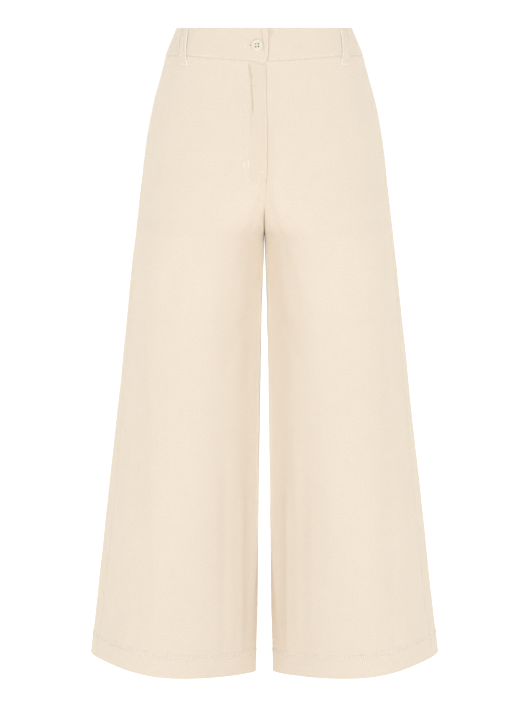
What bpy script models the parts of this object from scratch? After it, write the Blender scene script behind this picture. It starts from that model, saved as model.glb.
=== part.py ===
"""Cropped wide-leg jeans, filled out as worn, with nobody in them.

The origin is the middle of the waist opening, level with the waistband's top edge. The front faces
-Y, +X is the wearer's left, and the legs hang towards -Z. Every cloth piece is a thin wall. Its outer
and inner points come from one surface, which two short tables describe: SECTIONS gives a leg's
outline level by level, and FOLDS its soft troughs. Angles run round a leg from -180 degrees at the
inseam, through the front at -90, the outer side at 0 and the back at 90, to 180 at the inseam again.
"""

import math
from typing import NamedTuple

import bmesh
import bpy
import numpy as np

MM = 0.001

# Cloth
WALL = 1.3 * MM
HEM_WALL = 2.4 * MM
HEM_DEPTH = 29.0 * MM
SEAM_GAP = 0.3 * MM
HALF_GAP = SEAM_GAP / 2
LAP_GAP = 0.3 * MM

# Length
CROTCH_DROP = 312.0 * MM
HEM_DROP = 951.0 * MM
HEM_RISE_OUTWARD = 15.0 * MM

# Waistband
BAND_SIDE_HEIGHT = 40.6 * MM
BAND_FRONT_HEIGHT = 46.6 * MM
BAND_BACK_DIP = 4.0 * MM
BAND_END_DIP = 6.0 * MM
BAND_END_START = 22.0 * MM
BAND_PROUD = 0.6 * MM
BAND_LINING = 1.3 * MM
BAND_ROWS = 8
BAND_COLUMNS = 34

# Fly
FLY_WIDTH = 28.0 * MM
FLY_DROP = 238.0 * MM
FLY_RAISE = 0.8 * MM

# Panels
TORSO_ROWS = 13
LEG_ROWS = 11
FRONT_COLUMNS = 14
BACK_COLUMNS = 14

# Belt loops
LOOP_WIDTH = 14.0 * MM
LOOP_WALL = 1.4 * MM
LOOP_BOTTOM_DROP = 54.0 * MM
LOOP_TOP_DROP = 0.4 * MM
LOOP_ROWS = 10
LOOP_COLUMNS = 3

# Button
BUTTON_RADIUS = 8.2 * MM
BUTTON_THICKNESS = 3.0 * MM
BUTTON_DISH = 0.8 * MM
BUTTON_RIM = 1.9 * MM
BUTTON_EDGE = 0.7 * MM
BUTTON_HOLE_RADIUS = 0.8 * MM
BUTTON_HOLE_SPACING = 3.4 * MM
BUTTON_FROM_MIDDLE = 10.7 * MM
BUTTON_DROP = 24.8 * MM
BUTTON_SIDES = 32
HOLE_SIDES = 10


class Section(NamedTuple):
    """One level of a leg, in millimetres. Above the crotch, inner lies past the middle of the body
    and the outline is cut off there. Apex is where between inner and outer the front and back stand
    out furthest, and the flats say how much a quarter of the outline is flatter than an ellipse."""

    drop: float
    outer: float
    inner: float
    apex: float
    front: float
    back: float
    outer_flat: float
    inner_flat: float


SECTIONS = [
    Section(0, 128.0, -128.0, 0.50, 87.0, 88.0, -0.35, -0.35),
    Section(41, 144.5, -144.5, 0.50, 93.0, 98.0, -0.34, -0.34),
    Section(76, 154.5, -152.0, 0.50, 99.0, 107.0, -0.32, -0.32),
    Section(105, 162.5, -154.0, 0.50, 103.5, 115.0, -0.30, -0.30),
    Section(135, 169.0, -149.0, 0.50, 107.5, 122.0, -0.28, -0.28),
    Section(164, 174.0, -136.0, 0.50, 110.5, 127.5, -0.26, -0.26),
    Section(194, 178.0, -114.0, 0.50, 112.5, 131.5, -0.23, -0.23),
    Section(224, 181.5, -84.0, 0.50, 113.0, 133.5, -0.20, -0.20),
    Section(253, 185.0, -50.0, 0.50, 112.5, 133.5, -0.17, -0.17),
    Section(275, 187.5, -24.0, 0.50, 112.0, 132.5, -0.14, -0.14),
    Section(292, 189.5, -8.0, 0.50, 111.5, 131.5, -0.12, -0.12),
    Section(304, 190.5, -1.6, 0.50, 111.0, 130.5, -0.10, -0.10),
    Section(312, 191.5, 0.15, 0.50, 110.5, 129.5, -0.09, -0.09),
    Section(342, 195.5, 1.5, 0.50, 109.0, 126.5, -0.05, -0.03),
    Section(402, 202.0, 3.7, 0.51, 106.0, 121.0, 0.02, 0.07),
    Section(552, 218.5, 6.6, 0.53, 103.5, 113.0, 0.12, 0.20),
    Section(704, 236.0, 8.8, 0.55, 103.0, 108.0, 0.22, 0.33),
    Section(858, 253.5, 10.3, 0.57, 103.0, 106.0, 0.30, 0.45),
    Section(951, 264.5, 13.0, 0.58, 101.0, 105.0, 0.38, 0.50),
]


class Fold(NamedTuple):
    """A soft trough down a leg: its depth and drops in millimetres, its angles in degrees."""

    depth: float
    half_width: float
    top_drop: float
    top_angle: float
    bottom_drop: float
    bottom_angle: float


FOLDS = [
    Fold(2.4, 13.0, 400, -36, 900, -68),
    Fold(1.8, 10.0, 480, -121, 1010, -131),
    Fold(2.2, 14.0, 380, 60, 860, 74),
    Fold(1.8, 12.0, 430, 118, 960, 112),
]
FOLD_FADE = 130.0 * MM


class Mark(NamedTuple):
    """A value that changes with the drop, both in millimetres or the value in degrees."""

    drop: float
    value: float


OUTSEAM_ANGLES = [
    Mark(0, -8.0),
    Mark(160, -12.0),
    Mark(312, -18.5),
    Mark(552, -24.5),
    Mark(704, -28.8),
    Mark(850, -29.0),
    Mark(951, -24.5),
]
LAP_EDGES = [
    Mark(0, 6.0),
    Mark(34, 5.7),
    Mark(52, 2.8),
    Mark(90, 2.5),
    Mark(138, 4.1),
    Mark(192, 4.0),
    Mark(238, 1.6),
    Mark(275, 0.0),
]


class WaistSeam(NamedTuple):
    """The band's height in millimetres by how far round the front it is: 0 at the side, 1 in the
    middle."""

    round_front: float
    height: float


WAIST_SEAM = [
    WaistSeam(0, BAND_SIDE_HEIGHT / MM),
    WaistSeam(0.62, 39.4),
    WaistSeam(0.79, 41.8),
    WaistSeam(0.92, 43.9),
    WaistSeam(1, BAND_FRONT_HEIGHT / MM),
]


class Loop(NamedTuple):
    """A belt loop: the angles of its top and bottom ends, how much it turns its face to the front,
    and on which sides of the body it is."""

    name: str
    top_angle: float
    bottom_angle: float
    turn: float
    sides: tuple


LOOPS = [
    Loop("belt_loop_front", -28.0, -38.0, 1.0, (-1, 1)),
    Loop("belt_loop_back", 60.0, 62.0, 0.3, (-1, 1)),
    Loop("belt_loop_centre", 90.0, 90.0, 0.0, (1,)),
]


class Lift(NamedTuple):
    """How far a belt loop's inner face stands off the panel, along the loop from 0 to 1, and how
    much more its edge towards the side of the body does where the loop is turned."""

    along: float
    height: float
    side_edge: float


LOOP_LIFTS = [
    Lift(0, 0.3, 0.0),
    Lift(0.15, 0.6, 0.6),
    Lift(0.3, 1.7, 1.6),
    Lift(0.55, 2.9, 3.0),
    Lift(0.8, 1.9, 3.6),
    Lift(1, 0.9, 3.4),
]


class UnderlapColumn(NamedTuple):
    """A column of the band's underlap, in millimetres: how far its outer and inner points lie from
    the lap's edge, and how deep they lie in the cloth."""

    outer_from_edge: float
    outer_depth: float
    inner_from_edge: float
    inner_depth: float


UNDERLAP = [
    UnderlapColumn(-28.0, 1.6, -28.0, 3.2),
    UnderlapColumn(-13.0, 1.6, -13.0, 3.2),
    UnderlapColumn(0.0, 1.6, -1.5, 3.2),
    UnderlapColumn(0.0, -0.6, 1.5, 3.2),
    UnderlapColumn(4.0, -0.6, 4.5, 2.9),
]
UNDERLAP_SHORT = 1.5 * MM

CLOTH_COLOUR = (0.87, 0.77, 0.65)
LOOP_COLOUR = (0.83, 0.73, 0.61)
BUTTON_COLOUR = (0.82, 0.71, 0.57)


def smooth_values(at, places, values):
    """Values read from a smooth curve through a table's rows, which never overshoots them."""
    steps = np.diff(places)
    slopes = np.diff(values) / steps
    before, after = slopes[:-1], slopes[1:]
    same_way = before * after > 0
    safe_sum = np.where(same_way, before + after, 1.0)
    middle = np.where(same_way, 2 * before * after / safe_sum, 0.0)
    tangents = np.concatenate([slopes[:1], middle, slopes[-1:]])
    at = np.clip(at, places[0], places[-1])
    row = np.clip(np.searchsorted(places, at, side="right") - 1, 0, len(steps) - 1)
    step = steps[row]
    s = (at - places[row]) / step
    start = (1 + 2 * s) * (1 - s) ** 2 * values[row] + s * (1 - s) ** 2 * step * tangents[row]
    end = s**2 * (3 - 2 * s) * values[row + 1] + s**2 * (s - 1) * step * tangents[row + 1]
    return start + end


def smooth_step(value):
    """A rise from 0 to 1 that starts and ends level."""
    s = np.clip(value, 0.0, 1.0)
    return s * s * (3 - 2 * s)


def mark_values(marks, drop):
    """The marks' values at each drop."""
    places = np.array([mark.drop for mark in marks]) * MM
    values = np.array([mark.value for mark in marks], float)
    return smooth_values(np.asarray(drop, float), places, values)


def outline_at(drop):
    """The section's sizes at each drop, in metres, worked out from SECTIONS."""
    table = np.array(SECTIONS, float)
    drop = np.asarray(drop, float)
    columns = [smooth_values(drop, table[:, 0] * MM, table[:, k]) for k in range(1, table.shape[1])]
    outer, inner, apex, front, back, outer_flat, inner_flat = columns
    apex_x = (inner + apex * (outer - inner)) * MM
    return {
        "apex_x": apex_x,
        "outward": outer * MM - apex_x,
        "inward": apex_x - inner * MM,
        "front": front * MM,
        "back": back * MM,
        "outer_flat": outer_flat,
        "inner_flat": inner_flat,
    }


def fold_depth(angle, drop):
    """How far the cloth is drawn in at each angle and drop by all the folds together."""
    total = np.zeros(np.broadcast(angle, drop).shape)
    for fold in FOLDS:
        along = (drop - fold.top_drop * MM) / ((fold.bottom_drop - fold.top_drop) * MM)
        middle = fold.top_angle + (fold.bottom_angle - fold.top_angle) * along
        across = (np.degrees(angle) - middle) / fold.half_width
        start = smooth_step((drop - fold.top_drop * MM) / FOLD_FADE)
        end = smooth_step((fold.bottom_drop * MM - drop) / FOLD_FADE)
        total = total + fold.depth * MM * np.exp(-(across**2)) * start * end
    return total


def surface(angle, drop, depth=0.0):
    """Points of one leg's cloth, at a depth below its outer face, for the wearer's left leg.

    A quarter of the outline is x = apex + a cos(angle), y = b sin(angle) (1 - flat cos(angle)^2).
    """
    angle, drop, depth = np.broadcast_arrays(angle, drop, depth)
    sizes = outline_at(drop)
    cosine, sine = np.cos(angle), np.sin(angle)
    across = np.where(cosine > 0, sizes["outward"], sizes["inward"]) - depth
    reach = np.where(sine < 0, sizes["front"], sizes["back"]) - depth
    flat = np.where(cosine > 0, sizes["outer_flat"], sizes["inner_flat"])
    flat = np.where(sine < 0, flat, flat / 2)
    drawn_in = fold_depth(angle, drop)
    x = sizes["apex_x"] + across * cosine - drawn_in * np.maximum(cosine, 0.0)
    y = reach * sine * (1 - flat * cosine**2) - drawn_in * sine
    return np.stack([x, y, -drop], axis=-1)


def end_angle(drop, cut_x, depth, reach):
    """The angle at which a leg's outline meets the upright cut at cut_x, or its inseam below the
    crotch, half a seam's gap short of 180 degrees."""
    sizes = outline_at(drop)
    cosine = np.clip((sizes["apex_x"] - cut_x) / (sizes["inward"] - depth), -1.0, 1.0)
    flat_reach = sizes[reach] * (1 - sizes["inner_flat"])
    return np.minimum(math.pi - np.arccos(cosine), math.pi - HALF_GAP / flat_reach)


def seam_angle(drop, side_of_gap):
    """The outseam's angle, half a seam's gap to the front (-1) or to the back (1) of it."""
    sizes = outline_at(drop)
    centre = np.radians(mark_values(OUTSEAM_ANGLES, drop))
    around = np.hypot(sizes["outward"] * np.sin(centre), sizes["front"] * np.cos(centre))
    return centre + side_of_gap * HALF_GAP / around


def band_bottom(angle):
    """The drop of the waistband's lower edge at each angle, without its lapped end's dip."""
    sine = np.sin(angle)
    table = np.array(WAIST_SEAM)
    front = smooth_values(np.abs(sine), table[:, 0], table[:, 1] * MM)
    back = BAND_SIDE_HEIGHT + BAND_BACK_DIP * sine**2
    return np.where(sine < 0, front, back)


def end_dip(points):
    """How much lower the lapped end is cut, by a point's distance from the middle of the front."""
    dip = BAND_END_DIP * smooth_step((BAND_END_START - points[..., 0]) / (BAND_END_START + 4 * MM))
    return np.where(points[..., 1] < 0, dip, 0.0)


def front_y(x, drop, depth):
    """The front's y at a given x, for x between the middle and the apex of a leg."""
    sizes = outline_at(drop)
    share = np.clip((sizes["apex_x"] - x) / (sizes["inward"] - depth), -1.0, 1.0)
    height = np.sqrt(1 - share**2) * (1 - sizes["inner_flat"] * share**2)
    return -(sizes["front"] - depth) * height


def mirror_past_middle(points, depth):
    """Lays what reaches past the middle of the front on the other leg's cloth, its mirror image."""
    x, drop = points[..., 0], -points[..., 2]
    past = (x < 0) & (points[..., 1] < 0)
    y = np.where(past, front_y(np.abs(x), drop, depth), points[..., 1])
    return np.stack([x, y, points[..., 2]], axis=-1)


def fly_raise(points):
    """How much the doubled cloth of the fly stands out, on the leg that laps over."""
    inside = smooth_step((FLY_WIDTH - points[..., 0]) / (6 * MM))
    above = smooth_step((FLY_DROP + points[..., 2]) / (12 * MM))
    return FLY_RAISE * inside * above


def panel_rows(top, bottom):
    """The drop of every row of a panel, from its top edge to its hem, closest at the crotch."""
    rows = []
    for k in range(TORSO_ROWS):
        above = (1 - k / TORSO_ROWS) ** 2
        rows.append(CROTCH_DROP - (CROTCH_DROP - top) * above)
    for k in range(LEG_ROWS):
        rows.append(CROTCH_DROP + (bottom - HEM_DEPTH - CROTCH_DROP) * (k / LEG_ROWS) ** 1.4)
    rows.append(bottom - HEM_DEPTH - 0.5 * MM)
    rows.append(bottom - HEM_DEPTH + 0.5 * MM)
    rows.append(bottom)
    return np.stack(rows)


def panel_points(is_front, laps, depth, wall_of_hem):
    """The points of a front or back panel of the wearer's left leg, a row for each drop."""
    count = FRONT_COLUMNS if is_front else BACK_COLUMNS
    share = np.linspace(0.0, 1.0, count + 1)
    reach = "front" if is_front else "back"

    def angles(drop):
        cut = np.full(drop.shape, HALF_GAP)
        if is_front:
            lap = mark_values(LAP_EDGES, drop) * MM
            cut = HALF_GAP - lap if laps else HALF_GAP + lap
        end = end_angle(drop, cut, depth, reach)
        seam = seam_angle(drop, -1 if is_front else 1)
        return -end + (seam + end) * share if is_front else seam + (end - seam) * share

    top_angle = angles(np.full(share.shape, BAND_SIDE_HEIGHT))
    top = band_bottom(top_angle) + SEAM_GAP
    if laps:
        top = top + end_dip(surface(top_angle, top))
    hem_angle = angles(np.full(share.shape, HEM_DROP))
    bottom = HEM_DROP - HEM_RISE_OUTWARD * np.cos(hem_angle)
    drop = panel_rows(top, bottom)
    layer = np.full(drop.shape, depth)
    layer[-2:] = wall_of_hem
    points = surface(angles(drop), drop, layer)
    if is_front and laps:
        points = mirror_past_middle(points, layer)
    return points


def panel(is_front, laps):
    """The outer and inner points of a panel of the wearer's left leg."""
    outer = panel_points(is_front, laps, 0.0, 0.0)
    inner = panel_points(is_front, laps, WALL, HEM_WALL)
    if laps:
        outer[..., 1] -= fly_raise(outer)
    return outer, inner


def band_points(depth, front_x, back_x, laps):
    """The points of half a waistband between an upright cut at its front and one at its back."""
    level = np.zeros(1)
    front_end = -end_angle(level, front_x, depth, "front")[0]
    back_end = end_angle(level, back_x, depth, "back")[0]
    angle = np.linspace(front_end, back_end, BAND_COLUMNS + 1)
    bottom = band_bottom(angle)
    if laps:
        bottom = bottom + end_dip(surface(angle, bottom))
    share = np.linspace(0.0, 1.0, BAND_ROWS)[:, None]
    points = surface(angle, bottom * share, depth)
    lap = mark_values(LAP_EDGES, bottom[0] * share[:, 0]) * MM
    points[:, 0, 0] = HALF_GAP - lap if laps else HALF_GAP + lap
    points[:, -1, 0] = HALF_GAP
    return points


def lapping_band():
    """The wearer's right half of the waistband, mirrored: its end laps over the other half."""
    lap = LAP_EDGES[0].value * MM
    outer = band_points(-BAND_PROUD, HALF_GAP - lap, HALF_GAP, True)
    inner = band_points(BAND_LINING, HALF_GAP - lap, HALF_GAP, True)
    return outer, inner


def underlapped_band():
    """The wearer's left half of the waistband, with the underlap that carries the button."""
    lap = LAP_EDGES[0].value * MM
    cut = HALF_GAP + lap + (UNDERLAP[-1].outer_from_edge + 5) * MM
    outer = band_points(-BAND_PROUD, cut, HALF_GAP, False)[:, 1:]
    inner = band_points(BAND_LINING, cut, HALF_GAP, False)[:, 1:]
    share = np.linspace(0.0, 1.0, BAND_ROWS)
    drop = share * BAND_FRONT_HEIGHT
    edge = HALF_GAP + mark_values(LAP_EDGES, drop) * MM
    for column in reversed(UNDERLAP):
        hidden = column.outer_from_edge < 0
        level = drop * (1 - UNDERLAP_SHORT / drop[-1]) if hidden else drop
        faces = []
        for from_edge, depth in (
            (column.outer_from_edge, column.outer_depth),
            (column.inner_from_edge, column.inner_depth),
        ):
            x = edge + from_edge * MM
            y = front_y(x, level, depth * MM)
            faces.append(np.stack([x, y, -level], axis=-1)[:, None])
        outer = np.concatenate([faces[0], outer], axis=1)
        inner = np.concatenate([faces[1], inner], axis=1)
    return outer, inner


def loop_points(loop, lift):
    """The points of a belt loop's inner or outer face, on the wearer's left half."""
    along = np.linspace(0.0, 1.0, LOOP_ROWS + 1)[:, None]
    drop = LOOP_BOTTOM_DROP + (LOOP_TOP_DROP - LOOP_BOTTOM_DROP) * along
    middle = np.radians(loop.bottom_angle + (loop.top_angle - loop.bottom_angle) * along)
    sizes = outline_at(drop)
    reach = sizes["front"] if loop.top_angle < 0 else sizes["back"]
    around = np.hypot(sizes["outward"] * np.sin(middle), reach * np.cos(middle))
    aside = np.linspace(-0.5, 0.5, LOOP_COLUMNS + 1)
    angle = middle + aside * LOOP_WIDTH / around
    places, heights, side_edges = np.array(LOOP_LIFTS).T
    to_side = 0.5 - aside if loop.top_angle > 0 else 0.5 + aside
    turned = loop.turn * smooth_values(along, places, side_edges * MM)
    stand_off = smooth_values(along, places, heights * MM) + lift + turned * to_side
    return surface(angle, drop, -stand_off)


def make_material(name, colour, roughness):
    """A Principled material of one colour."""
    material = bpy.data.materials.new(name)
    material.use_nodes = True
    shader = material.node_tree.nodes["Principled BSDF"]
    shader.inputs["Base Color"].default_value = (*colour, 1.0)
    shader.inputs["Roughness"].default_value = roughness
    shader.inputs["Metallic"].default_value = 0.0
    material.diffuse_color = (*colour, 1.0)
    return material


def add_object(name, mesh, material):
    """An object of a mesh, with its material, in the scene."""
    part = bpy.data.objects.new(name, mesh)
    mesh.materials.append(material)
    bpy.context.scene.collection.objects.link(part)
    return part


def wall_object(name, outer, inner, side, material):
    """A closed wall between two grids of points, for the left (1) or the right (-1) of the body."""
    rows, columns = outer.shape[:2]
    flip = np.array([side, 1.0, 1.0])
    mesh_maker = bmesh.new()
    grids = []
    for points in (outer, inner):
        vertices = [mesh_maker.verts.new(point) for point in (points * flip).reshape(-1, 3)]
        grids.append([vertices[k * columns : (k + 1) * columns] for k in range(rows)])
    face_of = mesh_maker.faces.new
    for grid in grids:
        for r in range(rows - 1):
            for c in range(columns - 1):
                face_of((grid[r][c], grid[r][c + 1], grid[r + 1][c + 1], grid[r + 1][c]))
    out, into = grids
    for r in range(rows - 1):
        for c in (0, columns - 1):
            face_of((out[r][c], out[r + 1][c], into[r + 1][c], into[r][c]))
    for c in range(columns - 1):
        for r in (0, rows - 1):
            face_of((out[r][c], out[r][c + 1], into[r][c + 1], into[r][c]))
    bmesh.ops.recalc_face_normals(mesh_maker, faces=mesh_maker.faces)
    mesh = bpy.data.meshes.new(name)
    mesh_maker.to_mesh(mesh)
    mesh_maker.free()
    mesh.shade_smooth()
    mesh.set_sharp_from_angle(angle=math.radians(40))
    return add_object(name, mesh, material)


def button_profile():
    """The button's turned outline, from the middle of its back to the middle of its dished face."""
    radius, edge, thick = BUTTON_RADIUS, BUTTON_EDGE, BUTTON_THICKNESS
    profile = [(0.0, 0.0), (radius - edge, 0.0)]
    for k in range(1, 7):
        turn = math.radians(-90 + 30 * k)
        middle = edge if k <= 3 else thick - edge
        profile.append((radius - edge + edge * math.cos(turn), middle + edge * math.sin(turn)))
    inside = radius - BUTTON_RIM
    profile += [(inside, thick - 0.15 * MM), (inside - 1.2 * MM, thick - BUTTON_DISH)]
    profile.append((0.0, thick - BUTTON_DISH))
    return profile


def turned_mesh(name, profile, sides):
    """A closed mesh turned about Z from an outline that starts and ends on the axis."""
    mesh_maker = bmesh.new()
    rings = []
    for radius, height in profile:
        if radius == 0.0:
            rings.append([mesh_maker.verts.new((0.0, 0.0, height))])
            continue
        turns = [2 * math.pi * k / sides for k in range(sides)]
        ring = [(radius * math.cos(turn), radius * math.sin(turn), height) for turn in turns]
        rings.append([mesh_maker.verts.new(point) for point in ring])
    for low, high in zip(rings, rings[1:]):
        for k in range(sides):
            after = (k + 1) % sides
            if len(low) == 1:
                mesh_maker.faces.new((low[0], high[k], high[after]))
            elif len(high) == 1:
                mesh_maker.faces.new((low[k], low[after], high[0]))
            else:
                mesh_maker.faces.new((low[k], low[after], high[after], high[k]))
    bmesh.ops.recalc_face_normals(mesh_maker, faces=mesh_maker.faces)
    mesh = bpy.data.meshes.new(name)
    mesh_maker.to_mesh(mesh)
    mesh_maker.free()
    return mesh


def add_button(material):
    """The four-hole button, seated on the lapped end of the waistband along its outward normal."""
    x, drop = BUTTON_FROM_MIDDLE, BUTTON_DROP
    step = 1.0 * MM

    def place(x_place, drop_place):
        y = front_y(np.array(x_place), np.array(drop_place), -BAND_PROUD)
        return np.array([-x_place, float(y), -drop_place])

    seat = place(x, drop)
    sideways = place(x - step, drop) - place(x + step, drop)
    downwards = place(x, drop + step) - place(x, drop - step)
    outwards = np.cross(downwards, sideways)
    outwards /= np.linalg.norm(outwards)
    if outwards[1] > 0:
        outwards = -outwards
    button = add_object("button", turned_mesh("button", button_profile(), BUTTON_SIDES), material)
    offset = BUTTON_HOLE_SPACING / 2
    for k, (i, j) in enumerate(((-1, -1), (1, -1), (1, 1), (-1, 1))):
        tall = [(0.0, -1 * MM), (BUTTON_HOLE_RADIUS, -1 * MM)]
        tall += [(BUTTON_HOLE_RADIUS, 2 * BUTTON_THICKNESS), (0.0, 2 * BUTTON_THICKNESS)]
        mesh = turned_mesh(f"hole_{k}", tall, HOLE_SIDES)
        mesh.transform(matrix_at(np.array([i * offset, j * offset, 0.0])))
        cutter = add_object(f"hole_{k}", mesh, material)
        cutter.hide_render = True
        cutter.display_type = "WIRE"
        cutter.parent = button
        cut = button.modifiers.new(f"hole_{k}", "BOOLEAN")
        cut.operation = "DIFFERENCE"
        cut.solver = "EXACT"
        cut.object = cutter
    button.location = seat + outwards * LAP_GAP
    button.rotation_euler = turn_to(outwards)


def matrix_at(place):
    """A matrix that moves a mesh to a place."""
    matrix = np.eye(4)
    matrix[:3, 3] = place
    return [list(row) for row in matrix]


def turn_to(outwards):
    """The rotation that lays a button's axis along a direction, by a tilt and then a turn."""
    tilt = math.acos(outwards[2])
    heading = math.atan2(outwards[1], outwards[0])
    return (0.0, tilt, heading)


def clear_scene():
    """Removes what a new file holds."""
    for leftover in list(bpy.data.objects):
        bpy.data.objects.remove(leftover, do_unlink=True)


def build():
    """Makes every piece of the jeans."""
    clear_scene()
    cloth = make_material("cotton_twill", CLOTH_COLOUR, 0.92)
    strip = make_material("belt_loop_twill", LOOP_COLOUR, 0.92)
    resin = make_material("button_resin", BUTTON_COLOUR, 0.45)
    wall_object("front_left", *panel(True, False), 1, cloth)
    wall_object("front_right", *panel(True, True), -1, cloth)
    wall_object("back_left", *panel(False, False), 1, cloth)
    wall_object("back_right", *panel(False, False), -1, cloth)
    wall_object("waistband_left", *underlapped_band(), 1, cloth)
    wall_object("waistband_right", *lapping_band(), -1, cloth)
    for loop in LOOPS:
        for side in loop.sides:
            suffix = "" if len(loop.sides) == 1 else ("_left" if side > 0 else "_right")
            outer, inner = loop_points(loop, LOOP_WALL), loop_points(loop, 0.0)
            wall_object(loop.name + suffix, outer, inner, side, strip)
    add_button(resin)


if __name__ == "__main__":
    build()
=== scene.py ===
"""Looks of the cropped wide-leg jeans: cream cotton twill, matching thread and a resin button.

Every piece lies on one surface, the one that its solids come from. Angles run round a leg from -180
degrees at the inseam, through the front at -90, the outer side at 0 and the back at 90, to 180 at
the inseam again, and a drop is how far a place lies below the waistband's top edge. Tables are in
millimetres and degrees; everything else is in metres and radians. Pieces are worked out for the
wearer's left half and mirrored for the right half.
"""

import logging
import math
from collections.abc import Callable
from dataclasses import dataclass
from enum import Enum
from typing import NamedTuple

import bpy
import numpy as np
from numpy.typing import NDArray
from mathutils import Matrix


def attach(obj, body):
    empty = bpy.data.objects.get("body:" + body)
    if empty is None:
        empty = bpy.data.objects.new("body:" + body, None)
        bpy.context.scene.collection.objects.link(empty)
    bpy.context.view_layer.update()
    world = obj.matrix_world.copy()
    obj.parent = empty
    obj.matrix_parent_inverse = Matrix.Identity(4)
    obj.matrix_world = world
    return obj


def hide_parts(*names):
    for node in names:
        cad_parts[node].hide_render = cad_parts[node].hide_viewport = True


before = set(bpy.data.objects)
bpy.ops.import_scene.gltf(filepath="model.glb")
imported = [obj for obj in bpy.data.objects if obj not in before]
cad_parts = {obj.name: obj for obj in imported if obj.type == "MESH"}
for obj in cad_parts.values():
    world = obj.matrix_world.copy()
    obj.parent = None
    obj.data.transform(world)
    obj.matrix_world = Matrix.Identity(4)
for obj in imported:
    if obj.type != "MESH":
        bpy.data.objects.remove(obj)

Array = NDArray[np.float64]
Numbers = NDArray[np.int64]
Socket = bpy.types.NodeSocket
Finish = bpy.types.Material
Piece = bpy.types.Object
MM = 0.001
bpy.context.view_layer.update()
WHITE = (1.0, 1.0, 1.0, 1.0)
# how finely routes are cut, and how far from them their relief is worked out
CREASE_STEPS = 24
CREASE_REACH = 2.6
ROW_STEPS = 60
ROW_REACH = 9 * MM
# a leg's usual radius, which turns angles into runs of cloth, and a distance beyond every relief
BODY_RADIUS = 110 * MM
FAR = 1.0
# where the inseam's folds open and close: a smooth step's start and length
FOLDS_OPEN = (262, 30)
FOLDS_CLOSE = (740, 190)
log = logging.getLogger("jeans")


class Side(Enum):
    """A half of the body; its value mirrors x."""

    LEFT = 1
    RIGHT = -1


class Face(Enum):
    """The front or the back of a leg, named as the outline names its depth there."""

    FRONT = "front"
    BACK = "back"


class Across(Enum):
    """How a route's places are measured round the body."""

    FROM_MIDDLE = "millimetres from the middle of the front"
    ROUND_LEG = "degrees round the leg"


class Section(NamedTuple):
    """One level of a leg, in millimetres, as the solids have it."""

    drop: float
    outer: float
    inner: float
    apex: float
    front: float
    back: float
    outer_flat: float
    inner_flat: float


class Fold(NamedTuple):
    """A soft trough down a leg: its depth and drops in millimetres, its angles in degrees."""

    depth: float
    half_width: float
    top_drop: float
    top_angle: float
    bottom_drop: float
    bottom_angle: float


class Mark(NamedTuple):
    """A value that changes with the drop, in millimetres or degrees."""

    drop: float
    value: float


class WaistSeam(NamedTuple):
    """The waistband's height by how far round the front it is: 0 at the side, 1 in the middle."""

    round_front: float
    height: float


SECTIONS = (
    Section(0, 128.0, -128.0, 0.50, 87.0, 88.0, -0.35, -0.35),
    Section(41, 144.5, -144.5, 0.50, 93.0, 98.0, -0.34, -0.34),
    Section(76, 154.5, -152.0, 0.50, 99.0, 107.0, -0.32, -0.32),
    Section(105, 162.5, -154.0, 0.50, 103.5, 115.0, -0.30, -0.30),
    Section(135, 169.0, -149.0, 0.50, 107.5, 122.0, -0.28, -0.28),
    Section(164, 174.0, -136.0, 0.50, 110.5, 127.5, -0.26, -0.26),
    Section(194, 178.0, -114.0, 0.50, 112.5, 131.5, -0.23, -0.23),
    Section(224, 181.5, -84.0, 0.50, 113.0, 133.5, -0.20, -0.20),
    Section(253, 185.0, -50.0, 0.50, 112.5, 133.5, -0.17, -0.17),
    Section(275, 187.5, -24.0, 0.50, 112.0, 132.5, -0.14, -0.14),
    Section(292, 189.5, -8.0, 0.50, 111.5, 131.5, -0.12, -0.12),
    Section(300, 190.2, -1.6, 0.50, 111.2, 130.8, -0.11, -0.11),
    Section(307, 190.9, 0.2, 0.50, 110.8, 130.1, -0.10, -0.10),
    Section(342, 195.5, 1.5, 0.50, 109.0, 126.5, -0.05, -0.03),
    Section(402, 202.0, 3.7, 0.51, 106.0, 121.0, 0.02, 0.07),
    Section(552, 218.5, 6.6, 0.53, 103.5, 113.0, 0.12, 0.20),
    Section(704, 236.0, 8.8, 0.55, 103.0, 108.0, 0.22, 0.33),
    Section(858, 253.5, 10.3, 0.57, 103.0, 106.0, 0.30, 0.45),
    Section(951, 264.5, 13.0, 0.58, 101.0, 105.0, 0.38, 0.50),
)
FOLDS = (
    Fold(2.4, 13.0, 400, -36, 900, -68),
    Fold(1.8, 10.0, 480, -121, 1010, -131),
    Fold(2.2, 14.0, 380, 60, 860, 74),
    Fold(1.8, 12.0, 430, 118, 960, 112),
)
OUTSEAM_ANGLES = (
    Mark(0, -8.0),
    Mark(160, -12.0),
    Mark(312, -18.5),
    Mark(552, -24.5),
    Mark(704, -28.8),
    Mark(850, -29.0),
    Mark(951, -24.5),
)
LAP_EDGES = (
    Mark(0, 6.0),
    Mark(34, 5.7),
    Mark(52, 2.8),
    Mark(90, 2.5),
    Mark(138, 4.1),
    Mark(192, 4.0),
    Mark(238, 1.6),
    Mark(275, 0.0),
)
FOLD_DEPTHS = (
    Mark(268, 76.0),
    Mark(285, 56.0),
    Mark(300, 43.0),
    Mark(312, 38.0),
    Mark(402, 35.0),
    Mark(552, 28.6),
    Mark(704, 22.5),
    Mark(858, 18.4),
    Mark(951, 16.2),
)
WAIST_SEAM = (
    WaistSeam(0, 40.6),
    WaistSeam(0.62, 39.4),
    WaistSeam(0.79, 41.8),
    WaistSeam(0.92, 43.9),
    WaistSeam(1, 46.6),
)


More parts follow.
